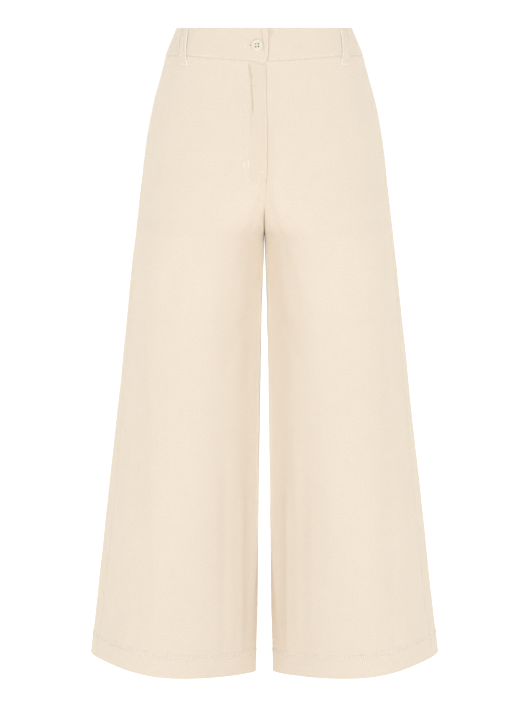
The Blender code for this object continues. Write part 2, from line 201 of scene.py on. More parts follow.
def smooth_values(at: Array, places: Array, values: Array) -> Array:
    """Values read from a smooth curve through a table's rows, which never overshoots them.

    Each stretch is a cubic whose slopes at its ends are the harmonic means of its neighbours'.

    Args:
        at: Where to read the curve.
        places: The rows' places, in rising order.
        values: The rows' values.

    Returns:
        The curve's value at each place asked for.
    """
    steps = np.diff(places)
    slopes = np.diff(values) / steps
    before, after = slopes[:-1], slopes[1:]
    same_way = before * after > 0
    safe_sum = np.where(same_way, before + after, 1.0)
    middle = np.where(same_way, 2 * before * after / safe_sum, 0.0)
    tangents = np.concatenate([slopes[:1], middle, slopes[-1:]])
    at = np.clip(at, places[0], places[-1])
    row = np.clip(np.searchsorted(places, at, side="right") - 1, 0, len(steps) - 1)
    step = steps[row]
    s = (at - places[row]) / step
    start = (1 + 2 * s) * (1 - s) ** 2 * values[row] + s * (1 - s) ** 2 * step * tangents[row]
    end = s**2 * (3 - 2 * s) * values[row + 1] + s**2 * (s - 1) * step * tangents[row + 1]
    return start + end


def smooth_step(value: Array) -> Array:
    """A rise from 0 to 1 that starts and ends level: three squares less two cubes."""
    s = np.clip(value, 0.0, 1.0)
    return s * s * (3 - 2 * s)


def bump(value: Array) -> Array:
    """A bell, one at 0 and falling to nothing about two either way: e to minus the square."""
    return np.exp(-(value**2))


def step_up(value: Array, start: float, length: float) -> Array:
    """A smooth step that starts at a place and takes a length, both in millimetres."""
    return smooth_step((value - start * MM) / (length * MM))


def step_down(value: Array, end: float, length: float) -> Array:
    """A smooth step back to 0, which it reaches at a place, over a length, both in millimetres."""
    return smooth_step((end * MM - value) / (length * MM))


def bell(value: Array, half_width: float, middle: float = 0.0) -> Array:
    """A bump of a half width round a middle, both in millimetres."""
    return bump((value - middle * MM) / (half_width * MM))


def rounded(gap: Array, radius: float) -> Array:
    """How far a round edge, its radius in millimetres, falls away: one less a circle's height."""
    return 1 - np.sqrt(1 - np.clip(1 - gap / (radius * MM), 0, 1) ** 2)


def unit(vectors: Array) -> Array:
    """The vectors at length one."""
    return vectors / np.maximum(np.linalg.norm(vectors, axis=-1, keepdims=True), 1e-12)


def waves(across: Array, along: Array, shortest: float, longest: float, lean: float, seed: int) -> Array:
    """An uneven ripple: sixteen sine waves of mixed lengths and headings, added up.

    Args:
        across: Places along the direction that the waves mostly run in, in metres.
        along: Places square to it, in metres.
        shortest: The shortest wave, in metres.
        longest: The longest wave, in metres.
        lean: How far the headings stray, in radians.
        seed: Which ripple.

    Returns:
        The ripple's height, with a mean square of about one.
    """
    draw = np.random.default_rng(seed)
    total = np.zeros(np.broadcast(across, along).shape)
    count = 16
    for _ in range(count):
        length = shortest * (longest / shortest) ** draw.random()
        heading, phase = draw.normal(0.0, lean), draw.random() * 2 * math.pi
        run = across * math.cos(heading) + along * math.sin(heading)
        total = total + np.sin(2 * math.pi * run / length + phase)
    return total * math.sqrt(2 / count)


def beside_line(points: Array, line: Array, reach: float, height: Callable[[Array, Array], Array]) -> Array:
    """A height beside a line of short straight stretches, and nothing beyond its reach.

    Args:
        points: The points.
        line: The line's points, a row each.
        reach: How far outside the line's box points still count.
        height: The height, from each point's distance and its place along the line from 0 to 1.

    Returns:
        The height at each point.
    """
    near = ((points > line.min(0) - reach) & (points < line.max(0) + reach)).all(-1)
    total = np.zeros(points.shape[:-1])
    if near.any():
        total[near] = height(*nearest_on_line(points[near], line))
    return total


def nearest_on_line(points: Array, line: Array) -> tuple[Array, Array]:
    """How far points lie from a line of short straight stretches, and where along it.

    Args:
        points: The points, a row each.
        line: The line's points, a row each.

    Returns:
        Each point's distance, and its place along the line from 0 to 1.
    """
    start, step = line[:-1], np.diff(line, axis=0)
    lengths = np.linalg.norm(step, axis=-1)
    offset = points[:, None] - start
    share = np.clip((offset * step).sum(-1) / lengths**2, 0.0, 1.0)
    gaps = np.linalg.norm(offset - share[..., None] * step, axis=-1)
    best = gaps.argmin(1)
    rows = np.arange(len(points))
    before = np.concatenate([[0.0], np.cumsum(lengths)])[:-1]
    along = (before[best] + share[rows, best] * lengths[best]) / lengths.sum()
    return gaps[rows, best], along


@dataclass(frozen=True)
class LegForm:
    """The surface of the wearer's left leg and left half of the body."""

    fold_fade: float = 130 * MM
    hem_drop: float = 951 * MM
    hem_rise_outward: float = 15 * MM
    band_back_dip: float = 4 * MM
    band_end_dip: float = 6 * MM
    band_end_start: float = 22 * MM
    seam_gap: float = 0.1 * MM
    fold_reach: float = 0.42
    slope_turn: float = 0.003
    slope_fall: float = 0.5 * MM

    def marks(self, table: tuple[Mark, ...], drop: Array) -> Array:
        """The marks' values at each drop."""
        places, values = np.array(table, float).T
        return smooth_values(np.asarray(drop, float), places * MM, values)

    def outline(self, drop: Array) -> dict[str, Array]:
        """The section's sizes at each drop, in metres.

        Args:
            drop: How far below the waistband's top edge.

        Returns:
            The apex's x, the reach outward and inward of it, the depths and the flats.
        """
        table = np.array(SECTIONS, float)
        places = table[:, 0] * MM
        columns = [smooth_values(drop, places, table[:, k]) for k in range(1, table.shape[1])]
        outer, inner, apex, front, back, outer_flat, inner_flat = columns
        apex_x = (inner + apex * (outer - inner)) * MM
        return {
            "apex_x": apex_x,
            "outward": outer * MM - apex_x,
            "inward": apex_x - inner * MM,
            "front": front * MM,
            "back": back * MM,
            "outer_flat": outer_flat,
            "inner_flat": inner_flat,
        }

    def drawn_in(self, angle: Array, drop: Array) -> Array:
        """How far the large folds draw the cloth in: a bell across each, faded at its ends.

        Args:
            angle: Where round the leg.
            drop: How far down.

        Returns:
            The depth at each place.
        """
        total = np.zeros(np.broadcast(angle, drop).shape)
        for fold in FOLDS:
            along = (drop - fold.top_drop * MM) / ((fold.bottom_drop - fold.top_drop) * MM)
            middle = fold.top_angle + (fold.bottom_angle - fold.top_angle) * along
            across = (np.degrees(angle) - middle) / fold.half_width
            start = smooth_step((drop - fold.top_drop * MM) / self.fold_fade)
            end = smooth_step((fold.bottom_drop * MM - drop) / self.fold_fade)
            total = total + fold.depth * MM * bump(across) * start * end
        return total

    def front_y(self, x: Array, drop: Array) -> Array:
        """The front's y at a given x between the middle and a leg's apex.

        Args:
            x: How far from the middle.
            drop: How far down.

        Returns:
            The y.
        """
        sizes = self.outline(drop)
        share = np.clip((sizes["apex_x"] - x) / sizes["inward"], -1.0, 1.0)
        return -sizes["front"] * np.sqrt(1 - share**2) * (1 - sizes["inner_flat"] * share**2)

    def place(self, angle: Array, drop: Array) -> Array:
        """Points of the cloth's outer face before any small relief.

        A quarter of the outline is x = apex + a cos(angle), y = b sin(angle) (1 - flat cos(angle)^2).
        What reaches past the middle of the front lies on the other leg's cloth, its mirror image.

        Args:
            angle: Where round the leg.
            drop: How far down.

        Returns:
            The points, with x, y and z last.
        """
        angle, drop = np.broadcast_arrays(np.asarray(angle, float), np.asarray(drop, float))
        sizes = self.outline(drop)
        cosine, sine = np.cos(angle), np.sin(angle)
        across = np.where(cosine > 0, sizes["outward"], sizes["inward"])
        reach = np.where(sine < 0, sizes["front"], sizes["back"])
        flat = np.where(cosine > 0, sizes["outer_flat"], sizes["inner_flat"])
        flat = np.where(sine < 0, flat, flat / 2)
        fold = self.drawn_in(angle, drop)
        x = sizes["apex_x"] + across * cosine - fold * np.maximum(cosine, 0.0)
        y = reach * sine * (1 - flat * cosine**2) - fold * sine
        past = (x < 0) & (y < 0)
        y = np.where(past, self.front_y(np.abs(x), drop), y)
        return np.stack([self.folded(x, y, drop, sizes), y, -drop], axis=-1)

    def folded(self, x: Array, y: Array, drop: Array, sizes: dict[str, Array]) -> Array:
        """Each leg's two upright folds beside the inseam, below the crotch.

        Cloth a fold's depth from the inseam moves towards the leg's inner edge by a bell's share of
        the way, so that the front stays open to the light almost to the edge.

        Args:
            x: The points' x.
            y: Their y.
            drop: How far down they are.
            sizes: The section's sizes there.

        Returns:
            The moved x.
        """
        edge = np.maximum(sizes["apex_x"] - sizes["inward"], self.seam_gap / 2)
        from_edge = np.maximum(x - edge, 0.0)
        there = 0.86 * step_up(drop, *FOLDS_OPEN) + 0.13 * step_up(drop, 306, 18)
        there = there * (1 - step_up(drop, *FOLDS_CLOSE))
        depth = self.marks(FOLD_DEPTHS, drop) * MM
        share = bump((np.abs(y) - depth) / (self.fold_reach * depth)) * there
        return np.where(x < sizes["apex_x"], x - from_edge * share, x)

    def normal(self, angle: Array, drop: Array) -> Array:
        """The outward direction: the downward slope crossed with the slope round the leg.

        Beside the middle, above the crotch, it turns straight forward or back, so that relief
        neither opens the seam between the halves nor crosses it.

        Args:
            angle: Where round the leg.
            drop: How far down.

        Returns:
            Unit vectors.
        """
        turn, fall = self.slope_turn, self.slope_fall
        around = self.place(angle + turn, drop) - self.place(angle - turn, drop)
        down = self.place(angle, drop + fall) - self.place(angle, drop - fall)
        outward = unit(np.cross(down, around))
        x = np.abs(self.place(angle, drop)[..., 0])
        away = smooth_step(x / (9 * MM) + np.maximum(drop - 302 * MM, 0.0) / (40 * MM))
        outward[..., 0] = outward[..., 0] * away
        return unit(outward)

    def raised(self, angle: Array, drop: Array, height: Array) -> Array:
        """Points a given height off the form along its outward direction."""
        return self.place(angle, drop) + self.normal(angle, drop) * height[..., None]

    def radius(self, angle: Array, drop: Array) -> Array:
        """How many metres of cloth a radian covers: the length of the slope round the leg.

        Args:
            angle: Where round the leg.
            drop: How far down.

        Returns:
            Metres a radian.
        """
        turn = self.slope_turn
        around = self.place(angle + turn, drop) - self.place(angle - turn, drop)
        return np.linalg.norm(around, axis=-1) / (2 * turn)

    def angle_at(self, x: Array, drop: Array) -> Array:
        """The front's angle at a distance from the middle: minus the arc cosine of x's share.

        Args:
            x: How far from the middle.
            drop: How far down.

        Returns:
            The angles.
        """
        sizes = self.outline(drop)
        offset = x - sizes["apex_x"]
        reach = np.where(offset > 0, sizes["outward"], sizes["inward"])
        return -np.arccos(np.clip(offset / reach, -1.0, 1.0))

    def end_angle(self, drop: Array, cut_x: Array, face: Face) -> Array:
        """The angle, without its sign, where the outline meets an upright cut or the inseam.

        Args:
            drop: How far down.
            cut_x: The cut's distance from the middle.
            face: The front or the back.

        Returns:
            The angles.
        """
        sizes = self.outline(drop)
        cosine = np.clip((sizes["apex_x"] - cut_x) / sizes["inward"], -1.0, 1.0)
        flat_reach = sizes[face.value] * (1 - sizes["inner_flat"])
        return np.minimum(math.pi - np.arccos(cosine), math.pi - self.seam_gap / 2 / flat_reach)

    def outseam(self, drop: Array) -> Array:
        """The outseam's angle."""
        return np.radians(self.marks(OUTSEAM_ANGLES, drop))

    def lap_edge(self, drop: Array) -> Array:
        """How far past the middle the lapping edge lies."""
        return self.marks(LAP_EDGES, drop) * MM

    def hem(self, angle: Array) -> Array:
        """The hem's drop: it rises towards the outer side by a cosine."""
        return self.hem_drop - self.hem_rise_outward * np.cos(angle)

    def band_bottom(self, angle: Array, laps: bool) -> Array:
        """The drop of the waistband's lower edge.

        Args:
            angle: Where round the body.
            laps: Whether this half's end laps over the other and is cut lower.

        Returns:
            The drops: a smooth curve through WAIST_SEAM in front, a sine squared behind.
        """
        sine = np.sin(angle)
        places, heights = np.array(WAIST_SEAM).T
        front = smooth_values(np.abs(sine), places, heights * MM)
        back = WAIST_SEAM[0].height * MM + self.band_back_dip * sine**2
        drop = np.where(sine < 0, front, back)
        if not laps:
            return drop
        x = self.place(angle, drop)[..., 0]
        run = (self.band_end_start - x) / (self.band_end_start + 4 * MM)
        return drop + np.where(sine < 0, self.band_end_dip * smooth_step(run), 0.0)

    def route(self, places: tuple, across: Across, steps: int) -> tuple[Array, Array]:
        """A smooth curve through a route's places.

        Args:
            places: Pairs of a place across and a drop, in the tables' units.
            across: What the first of each pair measures.
            steps: How many stretches the curve is cut into.

        Returns:
            The angles and drops of the curve's points.
        """
        table = np.array(places, float)
        spans = np.hypot(*np.diff(table, axis=0).T)
        at = np.concatenate([[0.0], np.cumsum(spans)])
        run = np.linspace(0.0, at[-1], steps + 1)
        first, drop = smooth_values(run, at, table[:, 0]), smooth_values(run, at, table[:, 1]) * MM
        if across is Across.ROUND_LEG:
            return np.radians(first), drop
        return self.angle_at(first * MM, drop), drop


FORM = LegForm()


@dataclass(frozen=True)
class Crease:
    """A soft trough, or a ridge where its height is positive, along a route; in millimetres."""

    height: float
    half_width: float
    places: tuple
    across: Across = Across.ROUND_LEG
    side: Side | None = None
    fade: float = 0.3
    # a crisp crease's relief also goes into the sewn relief, which the finish paints darker in its troughs
    # as painted shade
    crisp: bool = False

    def profile(self, gap: Array, along: Array) -> Array:
        """The lift at a gap from the route: a bell across it, faded in and out along it."""
        ends = smooth_step(along / self.fade) * smooth_step((1 - along) / self.fade)
        return self.height * MM * bell(gap, self.half_width) * ends

    def lift(self, points: Array) -> Array:
        """How much the crease lifts each point."""
        line = FORM.place(*FORM.route(self.places, self.across, CREASE_STEPS))
        return beside_line(points, line, CREASE_REACH * self.half_width * MM, self.profile)


def front_crease(
    height: float,
    half_width: float,
    places: tuple,
    side: Side | None = None,
    fade: float = 0.3,
    crisp: bool = False,
) -> Crease:
    """A crease whose places are measured from the middle of the front."""
    return Crease(height, half_width, places, Across.FROM_MIDDLE, side, fade, crisp)


FLY_ROW_OUTER = (
    (26.9, 49),
    (26.9, 88),
    (27.1, 131),
    (27.6, 173),
    (28.1, 192),
    (27.4, 202),
    (25.0, 210.5),
    (20.5, 217),
    (13.7, 222.3),
    (7.0, 226.8),
    (0.5, 227.8),
)
FLY_ROW_INNER = (
    (21.9, 49),
    (21.9, 88),
    (22.0, 131),
    (22.2, 173),
    (22.6, 192),
    (22.0, 199),
    (19.5, 208),
    (13.4, 216.5),
    (7.0, 221.4),
    (0.5, 222.4),
)
POCKET_ROW_INNER = (
    (-20.2, 49),
    (-20.3, 56),
    (-19.6, 68),
    (-17.8, 80),
    (-16.6, 96),
    (-15.8, 130),
    (-15.4, 184),
)
POCKET_ROW_OUTER = (
    (-16.4, 52),
    (-16.0, 58),
    (-14.9, 66),
    (-13.8, 75),
    (-13.2, 96),
    (-13.0, 130),
    (-12.9, 182),
)
OUTSEAM_ROW = 7.5 * MM
BACK_ROWS = (2.2 * MM, 8.2 * MM)

CREASES = (
    # the front, as the photograph shows it
    front_crease(-1.1, 1.4, ((22.4, 49), (20.6, 60), (17.9, 76)), Side.RIGHT, 0.2, True),
    front_crease(-0.9, 1.3, ((18.8, 70), (18.6, 83), (17.3, 98), (16.5, 126)), Side.RIGHT, 0.2, True),
    front_crease(-0.4, 1.3, ((16.6, 110), (18.6, 140), (16.0, 166)), Side.RIGHT, 0.3, True),
    front_crease(0.5, 3.0, ((21.0, 66), (21.2, 95), (20.6, 140), (19.6, 180)), Side.RIGHT),
    front_crease(-0.3, 2.2, ((9.5, 90), (9.0, 130), (9.6, 180)), Side.RIGHT),
    front_crease(-0.6, 5.0, ((8.5, 105), (9.0, 160), (9.0, 220), (7.0, 272)), Side.LEFT),
    front_crease(-0.5, 1.2, ((18.4, 79), (14.0, 82), (10.0, 85.6)), Side.RIGHT, crisp=True),
    front_crease(-0.8, 5.0, ((25.0, 216), (16.3, 230), (8.6, 242), (4.0, 254)), Side.RIGHT),
    front_crease(-0.3, 0.9, ((7.6, 242), (4.6, 243.6), (1.4, 245.4)), Side.RIGHT, crisp=True),
    front_crease(-0.25, 1.1, ((7.7, 229), (7.7, 246), (7.8, 266)), Side.RIGHT),
    front_crease(-1.0, 6.0, ((-6.0, 243), (-4.5, 262), (-1.0, 286)), Side.RIGHT),
    front_crease(-1.3, 7.0, ((3.0, 236), (11.0, 262), (24.0, 300), (40, 352))),
    front_crease(-0.9, 8.0, ((5.0, 262), (25, 274), (58, 292), (92, 318))),
    front_crease(0.9, 8.0, ((8.0, 284), (24, 306), (46, 342), (60, 400))),
    # the legs
    Crease(2.2, 6.5, ((-142.5, 640), (-144.0, 764), (-145.5, 850), (-147.2, 962)), fade=0.22),
    Crease(-0.8, 8.0, ((-124, 600), (-127, 720), (-130.3, 927), (-130.8, 960)), fade=0.2),
    Crease(0.8, 9.0, ((-134, 560), (-136.5, 723), (-139.4, 931), (-140, 962)), fade=0.2),
    Crease(0.6, 9.0, ((-119, 640), (-123.5, 780), (-127.0, 918), (-127.4, 958)), fade=0.2),
    Crease(-1.3, 13.0, ((-30, 360), (-44, 500), (-58, 700), (-70, 930)), fade=0.2),
    Crease(1.0, 12.0, ((-44, 420), (-62, 560), (-76, 740), (-86, 940)), fade=0.2),
    Crease(-0.8, 11.0, ((-78, 520), (-92, 660), (-100, 840), (-104, 950)), fade=0.3),
    Crease(-1.1, 9.0, ((-160, 330), (-150, 392), (-128, 470), (-112, 560)), fade=0.4),
    Crease(-0.7, 7.0, ((-170, 344), (-152, 420), (-140, 520)), fade=0.4),
    # their like on the sides and at the back
    Crease(-1.1, 11.0, ((8, 330), (14, 470), (22, 640), (30, 900)), fade=0.3),
    Crease(0.8, 10.0, ((30, 420), (38, 600), (48, 820), (50, 955)), fade=0.3),
    Crease(-1.2, 9.0, ((172, 330), (150, 380), (122, 430), (100, 500)), fade=0.4),
    Crease(-0.9, 7.0, ((174, 316), (158, 342), (136, 366), (112, 384)), fade=0.4),
    Crease(1.0, 9.0, ((168, 336), (148, 400), (132, 480), (124, 580)), fade=0.4),
    Crease(-1.0, 10.0, ((104, 560), (100, 700), (96, 900)), fade=0.3),
    Crease(1.4, 8.0, ((146, 600), (148, 760), (150, 962)), fade=0.25),
    Crease(-0.9, 8.0, ((138, 640), (137, 780), (136, 958)), fade=0.25),
    Crease(-0.6, 6.0, ((96, 62), (84, 84), (66, 104)), side=Side.LEFT),
    Crease(-0.5, 6.0, ((100, 58), (82, 76), (70, 90)), side=Side.RIGHT),
    Crease(-0.5, 7.0, ((30, 52), (24, 78), (10, 104)), side=Side.LEFT),
    Crease(-0.6, 7.0, ((36, 50), (26, 70), (14, 92)), side=Side.RIGHT),
    # one leg or the other
    Crease(0.9, 9.0, ((-70, 640), (-78, 760), (-84, 900)), side=Side.RIGHT),
    Crease(-0.9, 10.0, ((-96, 600), (-104, 760), (-112, 940)), side=Side.LEFT),
    Crease(-0.7, 8.0, ((-60, 300), (-76, 400), (-88, 520)), side=Side.LEFT),
    Crease(-0.6, 9.0, ((-50, 250), (-64, 330), (-70, 430)), side=Side.RIGHT),
)
BAND_CREASES = (
    front_crease(-0.7, 1.1, ((5.6, -3), (3.4, 10), (1.2, 24), (0.4, 38)), Side.RIGHT, 0.2, True),
    front_crease(0.3, 1.8, ((8.6, -3), (6.4, 10), (4.0, 22), (3.0, 36)), Side.RIGHT, 0.2),
    front_crease(-0.6, 1.3, ((14.5, 0), (11.0, 8), (7.6, 15)), Side.LEFT, crisp=True),
    front_crease(-0.4, 1.2, ((12.0, -3), (8.8, 5), (7.0, 10)), Side.LEFT, crisp=True),
    Crease(-0.6, 1.5, ((-12, 31), (-15, 22), (-20, 10)), fade=0.35, crisp=True),
    Crease(0.35, 2.4, ((-14, 33), (-18, 24), (-24, 10)), fade=0.35),
    Crease(-0.45, 2.6, ((44, 36), (48, 22), (52, 6)), fade=0.4),
    Crease(-0.4, 2.4, ((74, 8), (70, 20), (69, 34)), fade=0.4),
)


@dataclass(frozen=True)
class Relief:
    """What lifts or sinks one half's cloth from the form, in metres along its outward direction."""

    side: Side
    wall: float = 1.3 * MM
    hem_wall: float = 2.4 * MM
    hem_rows: tuple = (29.0 * MM, 35.0 * MM)
    hem_proud: float = 0.3 * MM
    tuck: float = 3.0 * MM
    fly_width: float = 28 * MM
    fly_drop: float = 238 * MM
    fly_raise: float = 0.8 * MM
    lap_bottom: float = 275 * MM
    inseam_top: float = 0.3
    middle_bottom: float = 0.31
    band_proud: float = 0.6 * MM
    band_row: float = 2.4 * MM
    band_lining: float = 1.9 * MM

    @property
    def laps(self) -> bool:
        """Whether this half's fly and band lap over the other's."""
        return self.side is Side.RIGHT

    def creases(self, table: tuple, points: Array, crisp: bool) -> Array:
        """All the soft or all the crisp creases of a table on this side, added up."""
        mine = [crease for crease in table if crease.side in (None, self.side) and crease.crisp is crisp]
        return sum((crease.lift(points) for crease in mine), np.zeros(points.shape[:-1]))

    def seam(self, gap: Array, run: Array, seed: int) -> Array:
        """A sewn seam: a groove, the soft roll of its allowance, and small uneven puckers.

        Args:
            gap: How far each place is from the seam.
            run: How far along the seam it is.
            seed: Which puckers.

        Returns:
            The relief.
        """
        groove = -0.75 * bell(gap, 0.8)
        roll = 0.2 * bell(gap, 1.8, 2.8)
        pucker = 0.07 * waves(run, gap, 5 * MM, 17 * MM, 0.3, seed) * bell(gap, 8)
        return (groove + roll + pucker) * MM

    def row_ditch(self, gap: Array, run: Array, seed: int) -> Array:
        """The dent that a row of topstitching pulls into cloth, with its tiny puckers.

        Args:
            gap: How far each place is from the row.
            run: How far along.
            seed: Which puckers.

        Returns:
            The relief.
        """
        dent = -0.34 * bell(gap, 0.8)
        pucker = 0.05 * waves(run, gap, 3.4 * MM, 9 * MM, 0.2, seed) * bell(gap, 3)
        return (dent + pucker) * MM

    def line_ditch(self, points: Array, places: tuple, across: Across, seed: int) -> Array:
        """A row's dent along a route on the front or side.

        Args:
            points: The cloth's points.
            places: The route.
            across: What its places measure.
            seed: Which puckers.

        Returns:
            The relief.
        """
        line = FORM.place(*FORM.route(places, across, ROW_STEPS))
        length = np.linalg.norm(np.diff(line, axis=0), axis=-1).sum()

        def dent(gap: Array, along: Array) -> Array:
            """The row's dent, faded in and out over its first and last stretch."""
            inside = smooth_step(along * ROW_STEPS) * smooth_step((1 - along) * ROW_STEPS)
            return self.row_ditch(gap, along * length, seed) * inside

        return beside_line(points, line, ROW_REACH, dent)

    def hem_relief(self, angle: Array, drop: Array, run: Array) -> Array:
        """The turned-up hem's sewing: two rows of stitches and the roping between and below.

        The rows are dents at two heights, the ladder between them is a short ripple, and the roping
        is a slanting ripple that fades from the rows to the edge.

        Args:
            angle: Where round the leg.
            drop: How far down.
            run: How many metres round the leg.

        Returns:
            The relief.
        """
        height = FORM.hem(angle) - drop
        low, high = self.hem_rows
        between = bump((height - (low + high) / 2) / (3.2 * MM))
        ditches = -0.3 * (bell(height - low, 0.85) + bell(height - high, 0.85)) - 0.1 * between
        ladder = 0.03 * waves(run, height, 3.6 * MM, 6.5 * MM, 0.12, 71) * between
        below = step_up(height, 0, 10) * smooth_step((high - height) / (6 * MM))
        roping = 0.07 * waves(run + 0.45 * height, height, 9 * MM, 26 * MM, 0.1, 72) * below
        above = smooth_step((height - low) / (4 * MM)) * bump((height - high) / (16 * MM))
        drag = 0.09 * waves(run, height, 7 * MM, 20 * MM, 0.2, 73) * above
        return (ditches + ladder + roping + drag) * MM

    def panel_parts(self, angle: Array, drop: Array, face: Face) -> tuple[Array, Array]:
        """A leg panel's relief.

        Args:
            angle: Where round the leg.
            drop: How far down.
            face: The front or the back panel.

        Returns:
            The whole relief, and the part of it that sewing and the crisp creases make, which the finish
            also paints as highlight on ridges and shade in grooves.
        """
        points, radius = FORM.place(angle, drop), FORM.radius(angle, drop)
        run, seam = angle * BODY_RADIUS, FORM.outseam(drop)
        to_outseam = np.abs(angle - seam) * radius
        to_inseam = np.where(drop > self.inseam_top, (math.pi - np.abs(angle)) * radius, FAR)
        to_middle = np.where(drop < self.middle_bottom, np.abs(points[..., 0]), FAR)
        edge = np.minimum(to_inseam, to_middle)
        calm = step_up(edge, 0, 14) * step_up(drop, 44, 20)
        soft = 0.26 * MM * waves(run, drop, 42 * MM, 120 * MM, 0.35, 11 + self.side.value)
        small = 0.045 * MM * waves(run, drop, 10 * MM, 30 * MM, 1.2, 21 + self.side.value)
        in_hem = smooth_step((self.hem_rows[1] + 1.5 * MM - FORM.hem(angle) + drop) / (2.5 * MM))
        shape = self.creases(CREASES, points, crisp=False) + (soft + small) * calm + self.hem_proud * in_hem
        sewn = self.creases(CREASES, points, crisp=True)
        sewn = sewn + 0.4 * self.seam(to_outseam, drop, 31) + self.seam(to_inseam, drop, 32)
        sewn = sewn + 0.3 * MM * bell(to_outseam, 0.9, 1.6)
        behind = FORM.radius(seam, drop) * (angle - seam) - OUTSEAM_ROW
        sewn = sewn + self.row_ditch(behind, drop, 33)
        sewn = sewn + self.hem_relief(angle, drop, run)
        sewn = sewn + self.waist_tuck(angle, drop, run)
        if face is Face.BACK:
            sewn = sewn + self.seam(to_middle, drop, 34)
            for row in BACK_ROWS if self.side is Side.LEFT else ():
                sewn = sewn + self.row_ditch(to_middle - row, drop, 35)
        else:
            sewn = sewn + self.fly(points, drop, to_middle)
            shape = shape + self.placket(points, drop)
            sewn = sewn + self.line_ditch(points, POCKET_ROW_INNER, Across.ROUND_LEG, 36)
            sewn = sewn + self.line_ditch(points, POCKET_ROW_OUTER, Across.ROUND_LEG, 37)
        return shape + sewn, sewn

    def waist_tuck(self, angle: Array, drop: Array, run: Array) -> Array:
        """The panel's top goes in under the band's edge, with short puckers below the seam.

        Args:
            angle: Where round the leg.
            drop: How far down.
            run: How far along.

        Returns:
            The relief.
        """
        below = drop - FORM.band_bottom(angle, self.laps)
        sunk = -1.1 * step_down(below, 0.6, 1.0)
        roll = 0.12 * bell(below, 2, 3.2)
        pucker = 0.1 * waves(run, below, 6 * MM, 22 * MM, 0.2, 41) * bell(below, 9)
        return (sunk + roll + pucker * step_up(below, 0, 1.5)) * MM

    def below_lap(self, drop: Array) -> Array:
        """How far the lap has ended at each drop, from 0 to 1."""
        return smooth_step((drop - self.lap_bottom + 26 * MM) / (20 * MM))

    def placket(self, points: Array, drop: Array) -> Array:
        """The doubled cloth behind the fly lifts the lapping leg; the other runs in under it.

        Args:
            points: The cloth's points.
            drop: How far down.

        Returns:
            The relief.
        """
        if not self.laps:
            from_edge = points[..., 0] - FORM.lap_edge(drop)
            under = step_down(from_edge, 0.2, 0.8)
            return -0.6 * MM * under * (1 - self.below_lap(drop))
        inside = smooth_step((self.fly_width - points[..., 0]) / (5 * MM))
        return self.fly_raise * inside * smooth_step((self.fly_drop - drop) / (12 * MM))

    def fly(self, points: Array, drop: Array, to_middle: Array) -> Array:
        """The fly's sewing: the lapping leg is edged and sewn, and below the lap both meet.

        Args:
            points: The cloth's points.
            drop: How far down.
            to_middle: How far each point is from the middle.

        Returns:
            The relief.
        """
        x = points[..., 0]
        below = self.below_lap(drop)
        sewn = self.seam(to_middle, drop, 42) * below * (1 - 0.7 * step_up(drop, 270, 22))
        if self.laps:
            from_edge = x + FORM.lap_edge(drop)
            bead = 0.16 * bell(from_edge, 0.9, 1.2) - 0.1 * bell(from_edge, 0.9, 3)
            sewn = sewn + bead * MM * (1 - below)
            sewn = sewn + self.line_ditch(points, FLY_ROW_OUTER, Across.FROM_MIDDLE, 43)
            return sewn + self.line_ditch(points, FLY_ROW_INNER, Across.FROM_MIDDLE, 44)
        from_edge = x - FORM.lap_edge(drop)
        return sewn - 0.18 * MM * bell(from_edge, 1.2) * (1 - below)

    def panel(self, angle: Array, drop: Array, face: Face, lift: float = 0.0) -> Array:
        """Points of a panel's finished outer face, lifted by a given height."""
        return FORM.raised(angle, drop, self.panel_parts(angle, drop, face)[0] + lift)

    def band_parts(self, angle: Array, drop: Array) -> tuple[Array, Array]:
        """The waistband's relief: rounded edges, a stitched row, puckers, buckles and the lap.

        Args:
            angle: Where round the body.
            drop: How far below the band's top edge.

        Returns:
            The whole relief, and the part of it that sewing and the crisp creases make, less six tenths of
            the row's dent, which the finish also paints as highlight on ridges and shade in grooves.
        """
        points = FORM.place(angle, drop)
        x, run = points[..., 0], angle * BODY_RADIUS
        front = points[..., 1] < 0
        up = FORM.band_bottom(angle, self.laps) - drop
        foot, head = -0.5 * rounded(up, 1.0), -0.5 * rounded(drop, 0.8)
        row = self.row_ditch(up - self.band_row, run, 51)
        pucker = 0.09 * waves(run, up, 5 * MM, 16 * MM, 0.25, 52) * bell(up, 6, 1.5)
        edges = (foot + head) * MM
        sewn = row + pucker * MM + self.creases(BAND_CREASES, points, crisp=True)
        buckle = 0.15 * MM * waves(run, drop, 24 * MM, 80 * MM, 0.3, 53 + self.side.value)
        if self.laps:
            from_edge = x + FORM.lap_edge(drop)
            edge = -0.5 * bell(from_edge, 0.7, 3.3) + 0.25 * bell(from_edge, 1, 1.5)
            sewn = sewn + np.where(front, edge, 0.0) * MM
        else:
            from_edge = x - FORM.lap_edge(drop)
            under = step_down(from_edge, 0.8, 1.2)
            sewn = sewn - np.where(front, 2.4 * under + 0.3 * bell(from_edge, 4), 0.0) * MM
        middle = np.where(front, 1.0, smooth_step(np.abs(x) / (10 * MM)))
        sewn = sewn + np.where(front, 0.0, self.seam(np.abs(x), drop, 54))
        shape = self.band_proud + self.creases(BAND_CREASES, points, crisp=False) + buckle * middle
        return shape + edges + sewn, sewn - 0.6 * row

    def band(self, angle: Array, drop: Array, lift: float = 0.0) -> Array:
        """Points of the band's finished outer face, lifted by a given height."""
        return FORM.raised(angle, drop, self.band_parts(angle, drop)[0] + lift)


class Buttonhole(NamedTuple):
    """The buttonhole: its distance from the centre line, length and drop, and its open end."""

    middle: float
    length: float
    drop: float
    tack: float
    eye: float
    eye_half_width: float
    eye_half_height: float


BUTTONHOLE = Buttonhole(16.6 * MM, 8.4 * MM, 24.6 * MM, 26.2 * MM, 19.8 * MM, 1.25 * MM, 1.05 * MM)


